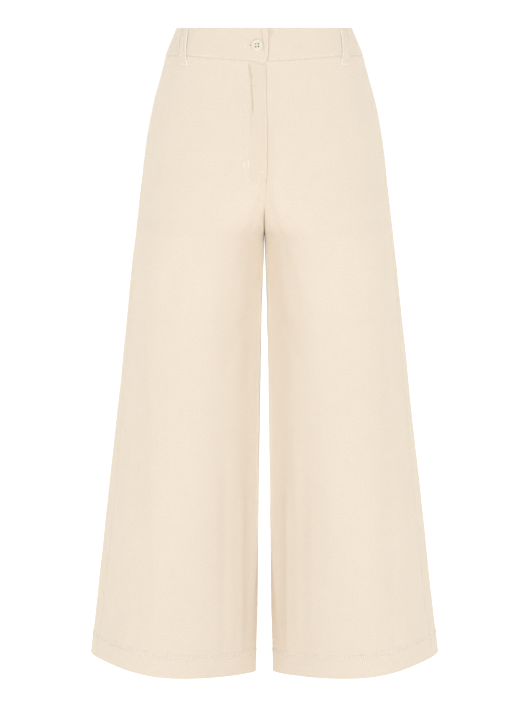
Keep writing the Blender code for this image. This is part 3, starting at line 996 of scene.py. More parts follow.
def make_mesh(name: str, points: Array, quads: Numbers) -> bpy.types.Mesh:
    """A smooth-shaded mesh of quads.

    Args:
        name: The mesh's name.
        points: Its vertices.
        quads: Four vertex numbers a face, turning left as seen from outside.

    Returns:
        The mesh.
    """
    mesh = bpy.data.meshes.new(name)
    mesh.vertices.add(len(points))
    mesh.vertices.foreach_set("co", points.astype(np.float32).ravel())
    mesh.loops.add(quads.size)
    mesh.loops.foreach_set("vertex_index", quads.astype(np.int32).ravel())
    mesh.polygons.add(len(quads))
    mesh.polygons.foreach_set("loop_start", np.arange(0, quads.size, 4, dtype=np.int32))
    mesh.update(calc_edges=True)
    mesh.shade_smooth()
    return mesh


def add_uv(mesh: bpy.types.Mesh, uv: Array) -> None:
    """Gives the mesh a UV map in metres of cloth, from one pair for each vertex.

    Args:
        mesh: The mesh.
        uv: A pair for each vertex.
    """
    corners = np.zeros(len(mesh.loops), np.int32)
    mesh.loops.foreach_get("vertex_index", corners)
    layer = mesh.uv_layers.new(name="cloth_metres")
    layer.uv.foreach_set("vector", uv[corners].astype(np.float32).ravel())


def add_tone(mesh: bpy.types.Mesh, name: str, values: Array) -> None:
    """Gives the mesh a number for each vertex, which its finish reads."""
    attribute = mesh.attributes.new(name, "FLOAT", "POINT")
    attribute.data.foreach_set("value", values.astype(np.float32).ravel())


def finish_piece(name: str, mesh: bpy.types.Mesh, material: Finish) -> Piece:
    """Puts a mesh in the scene as a piece that rides on the jeans' only body.

    Args:
        name: The piece's name.
        mesh: Its mesh.
        material: Its finish.

    Returns:
        The piece.
    """
    piece = bpy.data.objects.new(name, mesh)
    mesh.materials.append(material)
    bpy.context.scene.collection.objects.link(piece)
    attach(piece, "root")
    log.info("%s: %d faces", name, len(mesh.polygons))
    return piece


def tube_quads(rings: Numbers) -> Numbers:
    """The faces between closed rings of vertex numbers, a ring a row."""
    after = np.roll(rings, -1, axis=1)
    return np.stack([rings[:-1], after[:-1], after[1:], rings[1:]], axis=-1).reshape(-1, 4)


def lid_quads(turns: int) -> Numbers:
    """The faces that close a ring of an even number of vertices, in strips across it."""
    half = np.arange(turns // 2 - 1)
    return np.stack([half, half + 1, turns - 2 - half, turns - 1 - half], axis=-1)


class Heights(NamedTuple):
    """How far a cloth piece's outer and inner faces stand off the form."""

    outer: Array
    inner: Array


@dataclass(frozen=True)
class ClothShell:
    """A closed cloth piece between two faces off the form, with a rounded rim."""

    angle: Array
    drop: Array
    heights: Heights
    # the sewn relief in millimetres, which the finish paints paler on ridges and darker in grooves
    sewing: Array
    side: Side
    # painted light and shade: above nothing it makes the colour paler, below nothing darker
    painted_light_and_shade: Array | float
    rim_bulge: float = 0.3

    def border(self, number: Numbers) -> Numbers:
        """The grid's rim in order: along the top, down, back and up."""
        return np.concatenate([number[0, :-1], number[:-1, -1], number[-1, :0:-1], number[:0:-1, 0]])

    def quads(self, number: Numbers) -> Numbers:
        """The faces of the outer grid, the inner grid and the two strips of the rim.

        Args:
            number: The outer grid's vertex numbers.

        Returns:
            Four vertex numbers a face.
        """
        count = number.size
        corners = (number[:-1, :-1], number[1:, :-1], number[1:, 1:], number[:-1, 1:])
        outer = np.stack(corners, axis=-1).reshape(-1, 4)
        edge = self.border(number)
        rim = tube_quads(np.stack([edge, np.arange(len(edge)) + 2 * count, edge + count]))
        faces = np.concatenate([outer, outer[:, ::-1] + count, rim])
        return faces if self.side is Side.LEFT else faces[:, ::-1]

    def mesh(self, name: str) -> bpy.types.Mesh:
        """The shell's mesh, with its cloth in metres as UV, and its sewn relief and its painted light and
        shade as attributes.

        The rim's vertices lie midway between the walls' edges, moved outward by a share of the
        wall's thickness.

        Args:
            name: The mesh's name.

        Returns:
            The mesh.
        """
        form, normal = FORM.place(self.angle, self.drop), FORM.normal(self.angle, self.drop)
        outer, inner = (form + normal * height[..., None] for height in self.heights)
        rows, columns = self.angle.shape
        number = np.arange(rows * columns).reshape(rows, columns)
        edge = self.border(number)
        row, column = np.divmod(edge, columns)
        out, into = outer[row, column], inner[row, column]
        away = unit(out - outer[np.clip(row, 1, rows - 2), np.clip(column, 1, columns - 2)])
        thickness = np.linalg.norm(out - into, axis=-1, keepdims=True)
        ring = (out + into) / 2 + away * thickness * self.rim_bulge
        points = np.concatenate([outer.reshape(-1, 3), inner.reshape(-1, 3), ring])
        mesh = make_mesh(name, points * np.array([self.side.value, 1.0, 1.0]), self.quads(number))
        across = np.linalg.norm(np.diff(outer, axis=1), axis=-1)
        along = np.concatenate([np.zeros((rows, 1)), np.cumsum(across, axis=1)], axis=1)

        def everywhere(values: Array) -> Array:
            """The outer grid's values, repeated on the inner grid and round the rim."""
            flat = values.reshape(rows * columns, -1)
            return np.concatenate([flat, flat, flat[edge]])

        add_uv(mesh, everywhere(np.stack([along, outer[..., 2]], axis=-1)))
        # the sewn relief and the painted light and shade, which the finish turns into painted highlight,
        # light and shade
        add_tone(mesh, "sewing", everywhere(np.broadcast_to(self.sewing, number.shape)))
        add_tone(mesh, "painted_light_and_shade", everywhere(np.broadcast_to(self.painted_light_and_shade, number.shape)))
        return mesh

    def build(self, node: str, material: Finish) -> Piece:
        """Makes the piece, hides the solid it stands for, and logs its cut.

        Args:
            node: The solid that it stands for.
            material: Its finish.

        Returns:
            The piece.
        """
        piece = finish_piece(f"{node}_twill", self.mesh(node), material)
        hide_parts(node)
        FlatCut.of(FORM.place(self.angle, self.drop)).declare(piece)
        return piece


@dataclass(frozen=True)
class FlatCut:
    """The flat size of a piece of cloth: the box it is cut from, and its own area."""

    width: float
    length: float
    area: float

    @classmethod
    def of(cls, points: Array) -> "FlatCut":
        """The cut of a grid of points: its widest row, longest column and the sum of its cells.

        Args:
            points: The cloth's points.

        Returns:
            The cut.
        """
        across, down = np.diff(points, axis=1), np.diff(points, axis=0)
        width = np.linalg.norm(across, axis=-1).sum(1).max()
        length = np.linalg.norm(down, axis=-1).sum(0).max()
        cells = np.linalg.norm(np.cross(across[:-1], down[:, :-1]), axis=-1).sum()
        return cls(float(width), float(length), float(min(cells, width * length)))

    def declare(self, piece: Piece) -> None:
        """Logs a piece's cut: its width, its length and its area."""
        log.info("%s is cut %.3f by %.3f m, %.4f m2", piece.name, self.width, self.length, self.area)


def spaced(*stretches: tuple[float, int]) -> Array:
    """Places from 0, in stretches of even steps.

    Args:
        stretches: Each stretch's end and its number of steps.

    Returns:
        The places.
    """
    places, start = [np.zeros(1)], 0.0
    for end, count in stretches:
        places.append(np.linspace(start, end, count + 1)[1:])
        start = end
    return np.concatenate(places)


@dataclass(frozen=True)
class LegPanel:
    """A front or back panel of one leg, from under the waistband to the turned-up hem."""

    relief: Relief
    face: Face
    underlap: float = 10 * MM
    # how far down the painted shade on the fly, round the crotch and beside the fly reaches
    painted_shade_drop: float = 420 * MM

    @property
    def name(self) -> str:
        """The name of the panel and of the solid it stands for."""
        return f"{self.face.value}_{self.relief.side.name.lower()}"

    def shares(self) -> Array:
        """Column places from the middle's edge to the outseam, closest where sewing is."""
        if self.face is Face.FRONT:
            return spaced((0.02, 8), (0.18, 50), (0.93, 46), (1.0, 16))
        return 1 - spaced((0.02, 8), (0.1, 12), (0.92, 56), (1.0, 16))[::-1]

    def rows(self) -> Array:
        """Row places from 0 at the top to 1 at the hem, closest at the waist, fly and hem."""
        if self.face is Face.FRONT:
            places = spaced((14, 18), (152, 44), (188, 28), (275, 42), (855, 84), (905, 70))
        else:
            places = spaced((14, 18), (275, 84), (855, 84), (905, 70))
        return places / places[-1]

    def angles(self, drop: Array, share: Array) -> Array:
        """The angle of each column at its drop.

        Args:
            drop: How far down each point is.
            share: Each column's place between its two edges.

        Returns:
            The angles, from the middle or inseam to the outseam, or on from there behind.
        """
        cut = np.full(drop.shape, FORM.seam_gap / 2)
        if self.face is Face.FRONT:
            lap = FORM.lap_edge(drop)
            fade = smooth_step((self.relief.lap_bottom - 8 * MM - drop) / (30 * MM))
            cut = cut - lap if self.relief.laps else cut + lap - self.underlap * fade
        end = FORM.end_angle(drop, cut, self.face)
        gap = FORM.seam_gap / 2 / FORM.radius(FORM.outseam(drop), drop)
        if self.face is Face.FRONT:
            return -end + (FORM.outseam(drop) - gap + end) * share
        seam = FORM.outseam(drop) + gap
        return seam + (end - seam) * share

    def grid(self) -> tuple[Array, Array]:
        """The angles and drops of the panel's points.

        Returns:
            The angles and the drops.
        """
        share, row = self.shares()[None, :], self.rows()[:, None]
        top_angle = self.angles(np.full(share.shape, 46 * MM), share)
        top = FORM.band_bottom(top_angle, self.relief.laps) - self.relief.tuck
        bottom = FORM.hem(self.angles(np.full(share.shape, FORM.hem_drop), share))
        drop = top + (bottom - top) * row
        return self.angles(drop, share), drop

    def build(self, material: Finish) -> Piece:
        """Makes the panel: its outer face is the form plus the relief, its inner face one wall in.

        Args:
            material: The finish.

        Returns:
            The piece.
        """
        angle, drop = self.grid()
        rise, sewn = self.relief.panel_parts(angle, drop, self.face)
        height = FORM.hem(angle) - drop
        in_hem = smooth_step((self.relief.hem_rows[0] + 0.6 * MM - height) / (1.2 * MM))
        wall = self.relief.wall + (self.relief.hem_wall - self.relief.wall) * in_hem
        heights, painted_light_and_shade = Heights(rise, rise - wall), self.painted_light_and_shade(FORM.place(angle, drop)[..., 0], drop)
        shell = ClothShell(angle, drop, heights, sewn / MM, self.relief.side, painted_light_and_shade)
        return shell.build(self.name, material)

    def painted_light_and_shade(self, x: Array, drop: Array) -> Array:
        """Painted light and shade in the panel's colour.

        Painted light, above nothing, lightens the shade where the legs face each other, and painted
        shade, below nothing, darkens the fly, round the crotch, beside the fly and low down the
        inner sides. Every part is a bell or a smooth step.

        Args:
            x: How far the panel's points lie from the middle.
            drop: How far down they are.

        Returns:
            The painted light and shade.
        """
        sizes = FORM.outline(drop)
        from_edge = np.maximum(x - np.maximum(sizes["apex_x"] - sizes["inward"], 0.0), 0.0)
        # painted light: paler inner edges where the legs face each other, to lift the shade that falls
        # between them
        painted_light = 0.65 * bell(from_edge, 3.2) * step_up(drop, *FOLDS_OPEN) * (1 - step_up(drop, 690, 190))
        # painted shade: darker strips low down the inner sides, inward of the fold ridge, where the cloth
        # turns from the light; taken off the painted light
        strips = 0.1 * step_down(from_edge, 52, 14) + 0.07 * step_down(from_edge, 27, 6)
        painted_light = painted_light - strips * step_up(drop, 690, 130)
        if self.face is Face.BACK:
            return painted_light
        # painted shade: darker on the fly, round the crotch and beside the fly, in the upper part of the
        # leg only
        fly = 0.48 * step_down(x, 24 if self.relief.laps else 3, 5) * step_down(drop, 232, 16)
        crotch = 0.6 * bell(x, 12) * bell(drop, 24, 240)
        if self.relief.laps:
            beside = 0.28 * bell(x, 9, 38) * bell(drop, 24, 98)
        else:
            beside = 0.42 * bell(x, 6.5, 8 + 9 * step_down(drop, 165, 60)) * bell(drop, 66, 178)
        return painted_light - np.where(drop < self.painted_shade_drop, fly + crotch + beside, 0.0)


@dataclass(frozen=True)
class Waistband:
    """Half of the waistband, folded over at the top and sewn down over the panels."""

    relief: Relief
    underlap: float = 28 * MM
    # how much darker the whole band's colour is
    darkened: float = -0.14

    @property
    def name(self) -> str:
        """The name of the solid it stands for."""
        return f"waistband_{self.relief.side.name.lower()}"

    def grid(self) -> tuple[Array, Array]:
        """The angles and drops of the band's points, closest at its ends and edges.

        Returns:
            The angles and the drops.
        """
        column = spaced((0.015, 8), (0.09, 44), (0.3, 60), (0.97, 120), (1.0, 12))[None, :]
        row = spaced((0.05, 7), (0.86, 20), (1.0, 15))[:, None]
        start = np.full(column.shape, FORM.seam_gap / 2)
        drop = row * 46 * MM + 0 * column
        for _ in range(3):
            lap = FORM.lap_edge(drop)
            cut = start - lap if self.relief.laps else start + lap - self.underlap
            front = FORM.end_angle(drop, cut, Face.FRONT)
            back = FORM.end_angle(drop, start + 0 * drop, Face.BACK)
            angle = -front + (back + front) * column
            drop = FORM.band_bottom(angle, self.relief.laps) * row
        return angle, drop

    def build(self, material: Finish) -> Piece:
        """Makes the band: a proud outer face with relief, and a plain lining face.

        Args:
            material: The finish.

        Returns:
            The piece.
        """
        angle, drop = self.grid()
        rise, sewn = self.relief.band_parts(angle, drop)
        thickness = self.relief.band_lining + self.relief.band_proud
        near_edge = np.minimum(drop, FORM.band_bottom(angle, self.relief.laps) - drop)
        thickness = thickness * (0.55 + 0.45 * step_up(near_edge, 0, 1.6))
        heights = Heights(rise, np.minimum(rise, self.relief.band_proud) - thickness)
        shell = ClothShell(angle, drop, heights, sewn / MM, self.relief.side, self.darkened)
        return shell.build(self.name, material)


class LoopLift(NamedTuple):
    """How far a belt loop's inner face stands off, and how much more its side edge does."""

    along: float
    height: float
    side_edge: float


LOOP_LIFTS = (
    LoopLift(0, 0.0, 0.0),
    LoopLift(0.15, 0.2, 0.6),
    LoopLift(0.3, 0.7, 1.6),
    LoopLift(0.55, 1.1, 2.8),
    LoopLift(0.8, 1.0, 3.2),
    LoopLift(1, 0.6, 3.0),
)


@dataclass(frozen=True)
class BeltLoop:
    """A belt loop: a folded strip, stitched along both edges, that bows off the waistband."""

    node: str
    side: Side
    top_angle: float
    bottom_angle: float
    turn: float
    width: float = 14 * MM
    wall: float = 1.4 * MM
    bottom_drop: float = 54 * MM
    top_drop: float = 1.4 * MM
    row_inset: float = 1.8 * MM
    seed: int = 61

    def to_side(self, aside: Array) -> Array:
        """The share of the loop's width from its edge nearer the middle of the body."""
        return 0.5 - aside if self.top_angle > 0 else 0.5 + aside

    def lines(self, along: Array, aside: Array) -> tuple[Array, Array, Array]:
        """The loop's angles, drops and inner face's height.

        Args:
            along: From 0 at the bottom to 1 at the top.
            aside: From -0.5 to 0.5 across the loop.

        Returns:
            The angles, the drops, and how far the inner face stands off the form.
        """
        drop = self.bottom_drop + (self.top_drop - self.bottom_drop) * along + 0 * aside
        middle = np.radians(self.bottom_angle + (self.top_angle - self.bottom_angle) * along)
        angle = middle + aside * self.width / FORM.radius(middle, drop)
        places, heights, side_edges = np.array(LOOP_LIFTS).T
        turned = self.turn * smooth_values(along, places, side_edges * MM)
        return angle, drop, smooth_values(along, places, heights * MM) + turned * self.to_side(aside)

    def parts(self, along: Array, aside: Array) -> tuple[Array, Array]:
        """The outer face's relief: dents along the rows, wrinkles down it and turned-in ends.

        Args:
            along: From 0 at the bottom to 1 at the top.
            aside: From -0.5 to 0.5 across the loop.

        Returns:
            The relief, and the part of it that the finish paints as shade in the seam colour: the rows'
            dents and the wrinkles' troughs.
        """
        across, run = aside * self.width, (1 - along) * (self.bottom_drop - self.top_drop)
        from_edge = self.width / 2 - np.abs(across)
        row = -0.3 * bump((from_edge - self.row_inset) / (0.8 * MM))
        edge = -0.55 * rounded(from_edge, 0.9)
        wrinkle = 0.16 * waves(across, run, 2.4 * MM, 7 * MM, 0.12, self.seed) * step_up(from_edge, 0, 2)
        pucker = 0.07 * waves(run, across, 3 * MM, 8 * MM, 0.2, self.seed + 1)
        ends = bump(along / 0.05) + bump((1 - along) / 0.045)
        relief = row + edge + (wrinkle + pucker) * (1 - 0.6 * ends) - 0.3 * ends
        # the rows' dents and the wrinkles' troughs, the troughs taken 1.6 times, are painted darker as
        # shade
        return relief * MM, (row + 1.6 * np.minimum(wrinkle, 0.0)) * MM

    def skin(self, along: Array, aside: Array, lift: float = 0.0) -> Array:
        """Points of the loop's outer face, lifted by a given height."""
        angle, drop, height = self.lines(along, aside)
        return FORM.raised(angle, drop, height + self.wall + self.parts(along, aside)[0] + lift)

    def build(self, material: Finish) -> Piece:
        """Makes the loop between its outer face and a plain inner face.

        Args:
            material: The finish.

        Returns:
            The piece.
        """
        along = spaced((0.06, 8), (0.94, 60), (1.0, 8))[::-1, None]
        aside = (spaced((0.1, 6), (0.9, 26), (1.0, 6)) - 0.5)[None, :]
        angle, drop, height = self.lines(along, aside)
        rise, row = self.parts(along, aside)
        sewn_down = 0.9 * MM * smooth_step((0.2 - along) / 0.08)
        heights = Heights(height + self.wall + rise, height + 0.1 * MM - sewn_down)
        to_side = self.to_side(aside) * self.width
        # painted highlight: paler along the loop's edges, strongest on the edge nearer the middle of the
        # body, where the raised edge catches the light
        painted_highlight = 0.9 * bell(to_side, 0.9) + 0.35 * bell((1 - self.to_side(aside)) * self.width, 0.9)
        return ClothShell(angle, drop, heights, row / MM, self.side, painted_highlight).build(self.node, material)


class LoopPlace(NamedTuple):
    """A belt loop's ends, how much it turns its face, and the sides it is on."""

    name: str
    top_angle: float
    bottom_angle: float
    turn: float
    sides: tuple


LOOPS = (
    LoopPlace("belt_loop_front", -28.0, -38.0, 1.0, (Side.RIGHT, Side.LEFT)),
    LoopPlace("belt_loop_back", 60.0, 62.0, 0.3, (Side.RIGHT, Side.LEFT)),
    LoopPlace("belt_loop_centre", 90.0, 90.0, 0.0, (Side.LEFT,)),
)


class RodRing(NamedTuple):
    """A ring of a stitch: its share along it, its share of the girth and its height in millimetres."""

    along: float
    girth: float
    height: float


ROD_RINGS = (
    RodRing(-0.5, 0.5, -0.13),
    RodRing(-0.36, 1.0, 0.12),
    RodRing(0.36, 1.0, 0.12),
    RodRing(0.5, 0.5, -0.13),
)
ROD_SIDES = 6
ROD_POINTS = ROD_SIDES * len(ROD_RINGS)
ROD_CAPS = ((3, 2, 1, 0), (5, 4, 3, 0), (18, 19, 20, 21), (18, 21, 22, 23))


@dataclass
class ThreadWork:
    """Stitches gathered into one mesh: each a short soft rod that dips at both ends."""

    name: str
    pitch: float = 3.1 * MM
    stitch: float = 2.5 * MM
    width: float = 0.7 * MM
    thickness: float = 0.5 * MM
    seed: int = 5

    def __post_init__(self) -> None:
        """Starts with no stitches."""
        self.centres: list[Array] = []
        self.headings: list[Array] = []
        self.normals: list[Array] = []
        self.lengths: list[Array] = []
        self.draw = np.random.default_rng(self.seed)

    def row(self, points: Array, raised: Array, side: Side) -> None:
        """Adds a row of stitches along a line on the cloth.

        Args:
            points: The line's points on the cloth, closely spaced.
            raised: The same points a little above the cloth.
            side: The side that the line is mirrored to.
        """
        flip = np.array([side.value, 1.0, 1.0])
        points, raised = points * flip, raised * flip
        run = np.concatenate([[0.0], np.cumsum(np.linalg.norm(np.diff(points, axis=0), axis=-1))])
        count = max(int(run[-1] / self.pitch), 1)
        at = (np.arange(count) + 0.5) * run[-1] / count
        at = at + self.draw.normal(0.0, 0.04, count) * self.pitch

        def read(values: Array, places: Array) -> Array:
            """The values at places along the line."""
            return np.stack([np.interp(places, run, values[:, k]) for k in range(3)], axis=-1)

        heading = unit(read(points, at + 0.8 * MM) - read(points, at - 0.8 * MM))
        self.centres.append(read(points, at))
        self.headings.append(heading)
        self.normals.append(unit(read(raised - points, at)))
        self.lengths.append(self.stitch * (1 + self.draw.normal(0.0, 0.05, count)))

    def tack(
        self, points: Array, raised: Array, side: Side, width: float, spacing: float = 0.5 * MM
    ) -> None:
        """Adds a bartack: threads laid side by side across a line.

        Args:
            points: The line's points on the cloth.
            raised: The same points a little above the cloth.
            side: The side that the line is mirrored to.
            width: How wide the bartack is.
            spacing: How far apart its threads lie.
        """
        kept = self.pitch, self.stitch
        self.pitch, self.stitch = spacing, width
        self.row(points, raised, side)
        self.pitch, self.stitch = kept
        self.headings[-1] = np.cross(self.normals[-1], self.headings[-1])

    def build(self, material: Finish) -> Piece:
        """Makes all the stitches one mesh: four rings of six points each, closed at both ends.

        A ring's point is the centre plus its place along the stitch, plus the sideways and outward
        directions times the cosine and sine of its turn.

        Args:
            material: The finish.

        Returns:
            The piece.
        """
        centres, headings = np.concatenate(self.centres), np.concatenate(self.headings)
        normals, lengths = np.concatenate(self.normals), np.concatenate(self.lengths)
        sideways = unit(np.cross(normals, headings))
        stations, girth, dip = np.array(ROD_RINGS).T
        turn = np.arange(ROD_SIDES) * math.pi / 3
        along = headings[:, None, None] * (lengths[:, None] * stations)[:, :, None, None]
        aside = sideways[:, None, None] * (girth[:, None] * np.cos(turn) * self.width / 2)[None, :, :, None]
        high = girth[:, None] * np.sin(turn) * self.thickness / 2 + dip[:, None] * MM
        points = centres[:, None, None] + along + aside + normals[:, None, None] * high[None, :, :, None]
        one = np.concatenate([tube_quads(np.arange(ROD_POINTS).reshape(-1, ROD_SIDES)), ROD_CAPS])
        quads = (one + np.arange(len(centres))[:, None, None] * ROD_POINTS).reshape(-1, 4)
        mesh = make_mesh(self.name, points.reshape(-1, 3), quads)
        add_tone(mesh, "stitch_tone", np.repeat(self.draw.normal(0.0, 1.0, len(centres)), ROD_POINTS))
        return finish_piece(self.name, mesh, material)


@dataclass(frozen=True)
class Topstitching:
    """All the visible thread of the jeans, laid on the finished cloth."""

    halves: dict
    loops: tuple
    lift: float = 0.12 * MM
    rung_width: float = 4.4 * MM
    rung_spacing: float = 3.2 * MM
    end_gap: float = 0.004
    points_round: int = 700
    lap_row: float = 3.3 * MM
    lap_at_seam: float = 2.8 * MM
    placket_row: float = 1.7 * MM
    fly_tack: float = 1.1 * MM
    pocket_tack: float = 1.5 * MM
    loop_tack: float = 1.3 * MM
    band_end_angle: float = 89.4

    def line(self, surface: Callable[..., Array], *place: Array | Face) -> tuple[Array, Array]:
        """A line just off a surface, and the same line a little above it."""
        return surface(*place, self.lift), surface(*place, self.lift + MM)

    def on_panel(self, work: ThreadWork, side: Side, face: Face, angle: Array, drop: Array) -> None:
        """Sews a row along a line on a leg panel."""
        work.row(*self.line(self.halves[side].panel, angle, drop, face), side)

    def on_band(self, work: ThreadWork, side: Side, angle: Array, drop: Array) -> None:
        """Sews a row along a line on the waistband."""
        work.row(*self.line(self.halves[side].band, angle, drop), side)

    def tack_panel(self, work: ThreadWork, side: Side, places: tuple, across: Across, width: float) -> None:
        """Sews a bartack along a short route on a front panel."""
        angle, drop = FORM.route(places, across, 8)
        work.tack(*self.line(self.halves[side].panel, angle, drop, Face.FRONT), side, width)

    def waist(self) -> ThreadWork:
        """The row that sews the band down, and the one that edges its lapped end.

        Returns:
            The stitches.
        """
        work = ThreadWork("waist_topstitching", seed=81)
        for side, relief in self.halves.items():
            start = self.lap_row - self.lap_at_seam if relief.laps else self.lap_at_seam + 0.8 * MM
            first = float(FORM.angle_at(np.array(start), np.array(46 * MM)))
            angle = np.linspace(first, math.radians(self.band_end_angle), self.points_round)
            self.on_band(work, side, angle, FORM.band_bottom(angle, relief.laps) - relief.band_row)
        drop = np.linspace(1.5 * MM, 46.5 * MM, 60)
        edge = FORM.angle_at(self.lap_row - FORM.lap_edge(drop), drop)
        self.on_band(work, Side.RIGHT, edge, drop)
        drop = np.linspace(52 * MM, 214 * MM, 200)
        edge = FORM.angle_at(self.placket_row - FORM.lap_edge(drop), drop)
        self.on_panel(work, Side.RIGHT, Face.FRONT, edge, drop)
        return work

    def fly(self) -> ThreadWork:
        """The fly's two curved rows, the small box at its foot and the two upright bartacks.

        Returns:
            The stitches.
        """
        work = ThreadWork("fly_topstitching", pitch=2.7 * MM, stitch=2.15 * MM, seed=82)
        for places in (FLY_ROW_OUTER, FLY_ROW_INNER):
            self.on_panel(work, Side.RIGHT, Face.FRONT, *FORM.route(places, Across.FROM_MIDDLE, 400))
        corners = ((-1.0, 204.6), (7.4, 205), (7.4, 220.4), (-1.0, 221))
        for start, end in zip(corners, corners[1:]):
            self.on_panel(work, Side.RIGHT, Face.FRONT, *FORM.route((start, end), Across.FROM_MIDDLE, 40))
        for x in (28.5, 22.9):
            places = ((x, 190.4), (x + 0.1, 198.0))
            self.tack_panel(work, Side.RIGHT, places, Across.FROM_MIDDLE, self.fly_tack)
        return work

    def sides(self) -> ThreadWork:
        """The row behind each outseam, and the pockets' rows and bartacks.

        Returns:
            The stitches.
        """
        work = ThreadWork("side_topstitching", seed=83)
        for side in self.halves:
            drop = np.linspace(50 * MM, 934 * MM, 900)
            seam = FORM.outseam(drop)
            self.on_panel(work, side, Face.BACK, seam + OUTSEAM_ROW / FORM.radius(seam, drop), drop)
            for places in (POCKET_ROW_INNER, POCKET_ROW_OUTER):
                self.on_panel(work, side, Face.FRONT, *FORM.route(places, Across.ROUND_LEG, 160))
            for places in (((-21.6, 49.6), (-15.6, 49.2)), ((-17.0, 187.0), (-12.4, 185.0))):
                self.tack_panel(work, side, places, Across.ROUND_LEG, self.pocket_tack)
        return work

    def hems(self) -> ThreadWork:
        """The two rows round each hem, and the short rungs between them.

        Returns:
            The stitches.
        """
        work = ThreadWork("hem_topstitching", pitch=2.9 * MM, stitch=2.3 * MM, seed=84)
        for side, relief in self.halves.items():
            for height in relief.hem_rows:
                seam = float(FORM.outseam(np.array(FORM.hem_drop - height)))
                for face, start, end in ((Face.FRONT, -math.pi, seam), (Face.BACK, seam, math.pi)):
                    angle = np.linspace(start + self.end_gap, end - self.end_gap, self.points_round)
                    self.on_panel(work, side, face, angle, FORM.hem(angle) - height)
                    if height == relief.hem_rows[0]:
                        drop = FORM.hem(angle) - sum(relief.hem_rows) / 2
                        rungs = self.line(relief.panel, angle, drop, face)
                        work.tack(*rungs, side, self.rung_width, self.rung_spacing)
        return work

    def back(self) -> ThreadWork:
        """The two rows beside the seam down the seat.

        Returns:
            The stitches.
        """
        work = ThreadWork("seat_topstitching", seed=85)
        drop = np.linspace(46 * MM, 296 * MM, 260)
        for row in BACK_ROWS:
            angle = FORM.end_angle(drop, np.full(drop.shape, row), Face.BACK)
            self.on_panel(work, Side.LEFT, Face.BACK, angle, drop)
        return work

    def strips(self) -> ThreadWork:
        """The belt loops' edge rows and the bartacks at their ends.

        Returns:
            The stitches.
        """
        work = ThreadWork("loop_topstitching", pitch=2.6 * MM, stitch=2.1 * MM, width=0.6 * MM, seed=86)
        for loop in self.loops:
            inset = 0.5 - loop.row_inset / loop.width
            along = np.linspace(0.03, 0.97, 90)
            for aside in (-inset, inset):
                work.row(*self.line(loop.skin, along, np.full(along.shape, aside)), loop.side)
            aside = np.linspace(-0.44, 0.44, 24)
            work.tack(*self.line(loop.skin, np.full(aside.shape, 0.035), aside), loop.side, self.loop_tack)
        return work

    def buttonhole(self) -> ThreadWork:
        """The buttonhole's purl along both sides of the slit and round its end, and its bartack.

        Returns:
            The stitches.
        """
        work = ThreadWork("buttonhole_thread", width=0.6 * MM, seed=87)
        hole, reach, half = BUTTONHOLE, 1.5 * MM, 1.4 * MM

        def tack(x: Array, drop: Array, width: float, spacing: float) -> None:
            """Sews threads across a line on the band."""
            line = self.line(self.halves[Side.RIGHT].band, FORM.angle_at(x, drop), drop)
            work.tack(*line, Side.RIGHT, width, spacing)

        for way in (-1, 1):
            x = np.linspace(hole.middle - hole.length / 2, hole.middle + hole.length / 2, 30)
            tack(x, np.full(x.shape, hole.drop + way * reach), 1.5 * MM, 0.42 * MM)
        turn = np.linspace(-math.pi / 2, math.pi / 2, 20)
        x = hole.middle + hole.length / 2 + reach * np.cos(turn)
        tack(x, hole.drop + reach * np.sin(turn), 1.3 * MM, 0.5 * MM)
        for lean in (-0.5, 0.5):
            drop = np.linspace(hole.drop - half, hole.drop + half, 8)
            tack(hole.tack + lean * (drop - hole.drop - half), drop, 1.0 * MM, 0.42 * MM)
        return work

    def build(self, material: Finish) -> None:
        """Makes every set of rows."""
        sets = (self.waist, self.fly, self.sides, self.hems, self.back, self.strips, self.buttonhole)
        for work in [sew() for sew in sets]:
            work.build(material)


@dataclass(frozen=True)
class ButtonholeEyeShadow:
    """A painted shadow: the dark open end of the buttonhole beside the button, a thin near-black patch on
    the band.
    """

    relief: Relief
    turns: int = 32

    def build(self, material: Finish) -> Piece:
        """Makes a thin oval patch on the band: rings of an ellipse, closed below the surface.

        Args:
            material: The finish.

        Returns:
            The piece.
        """
        share = np.array([0.04, 0.4, 0.75, 1.0, 1.0, 0.04])[:, None]
        depth = np.array([-0.05, -0.02, 0.04, 0.06, -0.6, -0.6])[:, None] * MM
        turn = np.arange(self.turns) * 2 * math.pi / self.turns
        x = BUTTONHOLE.eye + BUTTONHOLE.eye_half_width * share * np.cos(turn)
        drop = BUTTONHOLE.drop + BUTTONHOLE.eye_half_height * share * np.sin(turn)
        angle = FORM.angle_at(x, drop)
        lift = depth + 0 * turn
        points = self.relief.band(angle, drop, lift) * np.array([-1.0, 1.0, 1.0])
        number = np.arange(points.shape[0] * self.turns).reshape(-1, self.turns)
        body, lid = tube_quads(number)[:, [0, 3, 2, 1]], lid_quads(self.turns)
        quads = np.concatenate([body, lid, lid[:, ::-1] + number[-1, 0]])
        mesh = make_mesh("buttonhole_eye_shadow", points.reshape(-1, 3), quads)
        return finish_piece("buttonhole_eye_shadow", mesh, material)


class ButtonStep(NamedTuple):
    """The button's face: its height at a distance from its middle, in millimetres."""

    radius: float
    height: float


BUTTON_FACE = (
    ButtonStep(0, 2.22),
    ButtonStep(3.6, 2.22),
    ButtonStep(4.7, 2.3),
    ButtonStep(5.3, 2.62),
    ButtonStep(5.65, 2.3),
    ButtonStep(6.0, 2.78),
    ButtonStep(6.7, 3.0),
    ButtonStep(7.3, 2.98),
    ButtonStep(7.75, 2.72),
    ButtonStep(8.05, 2.3),
    ButtonStep(8.2, 1.7),
)


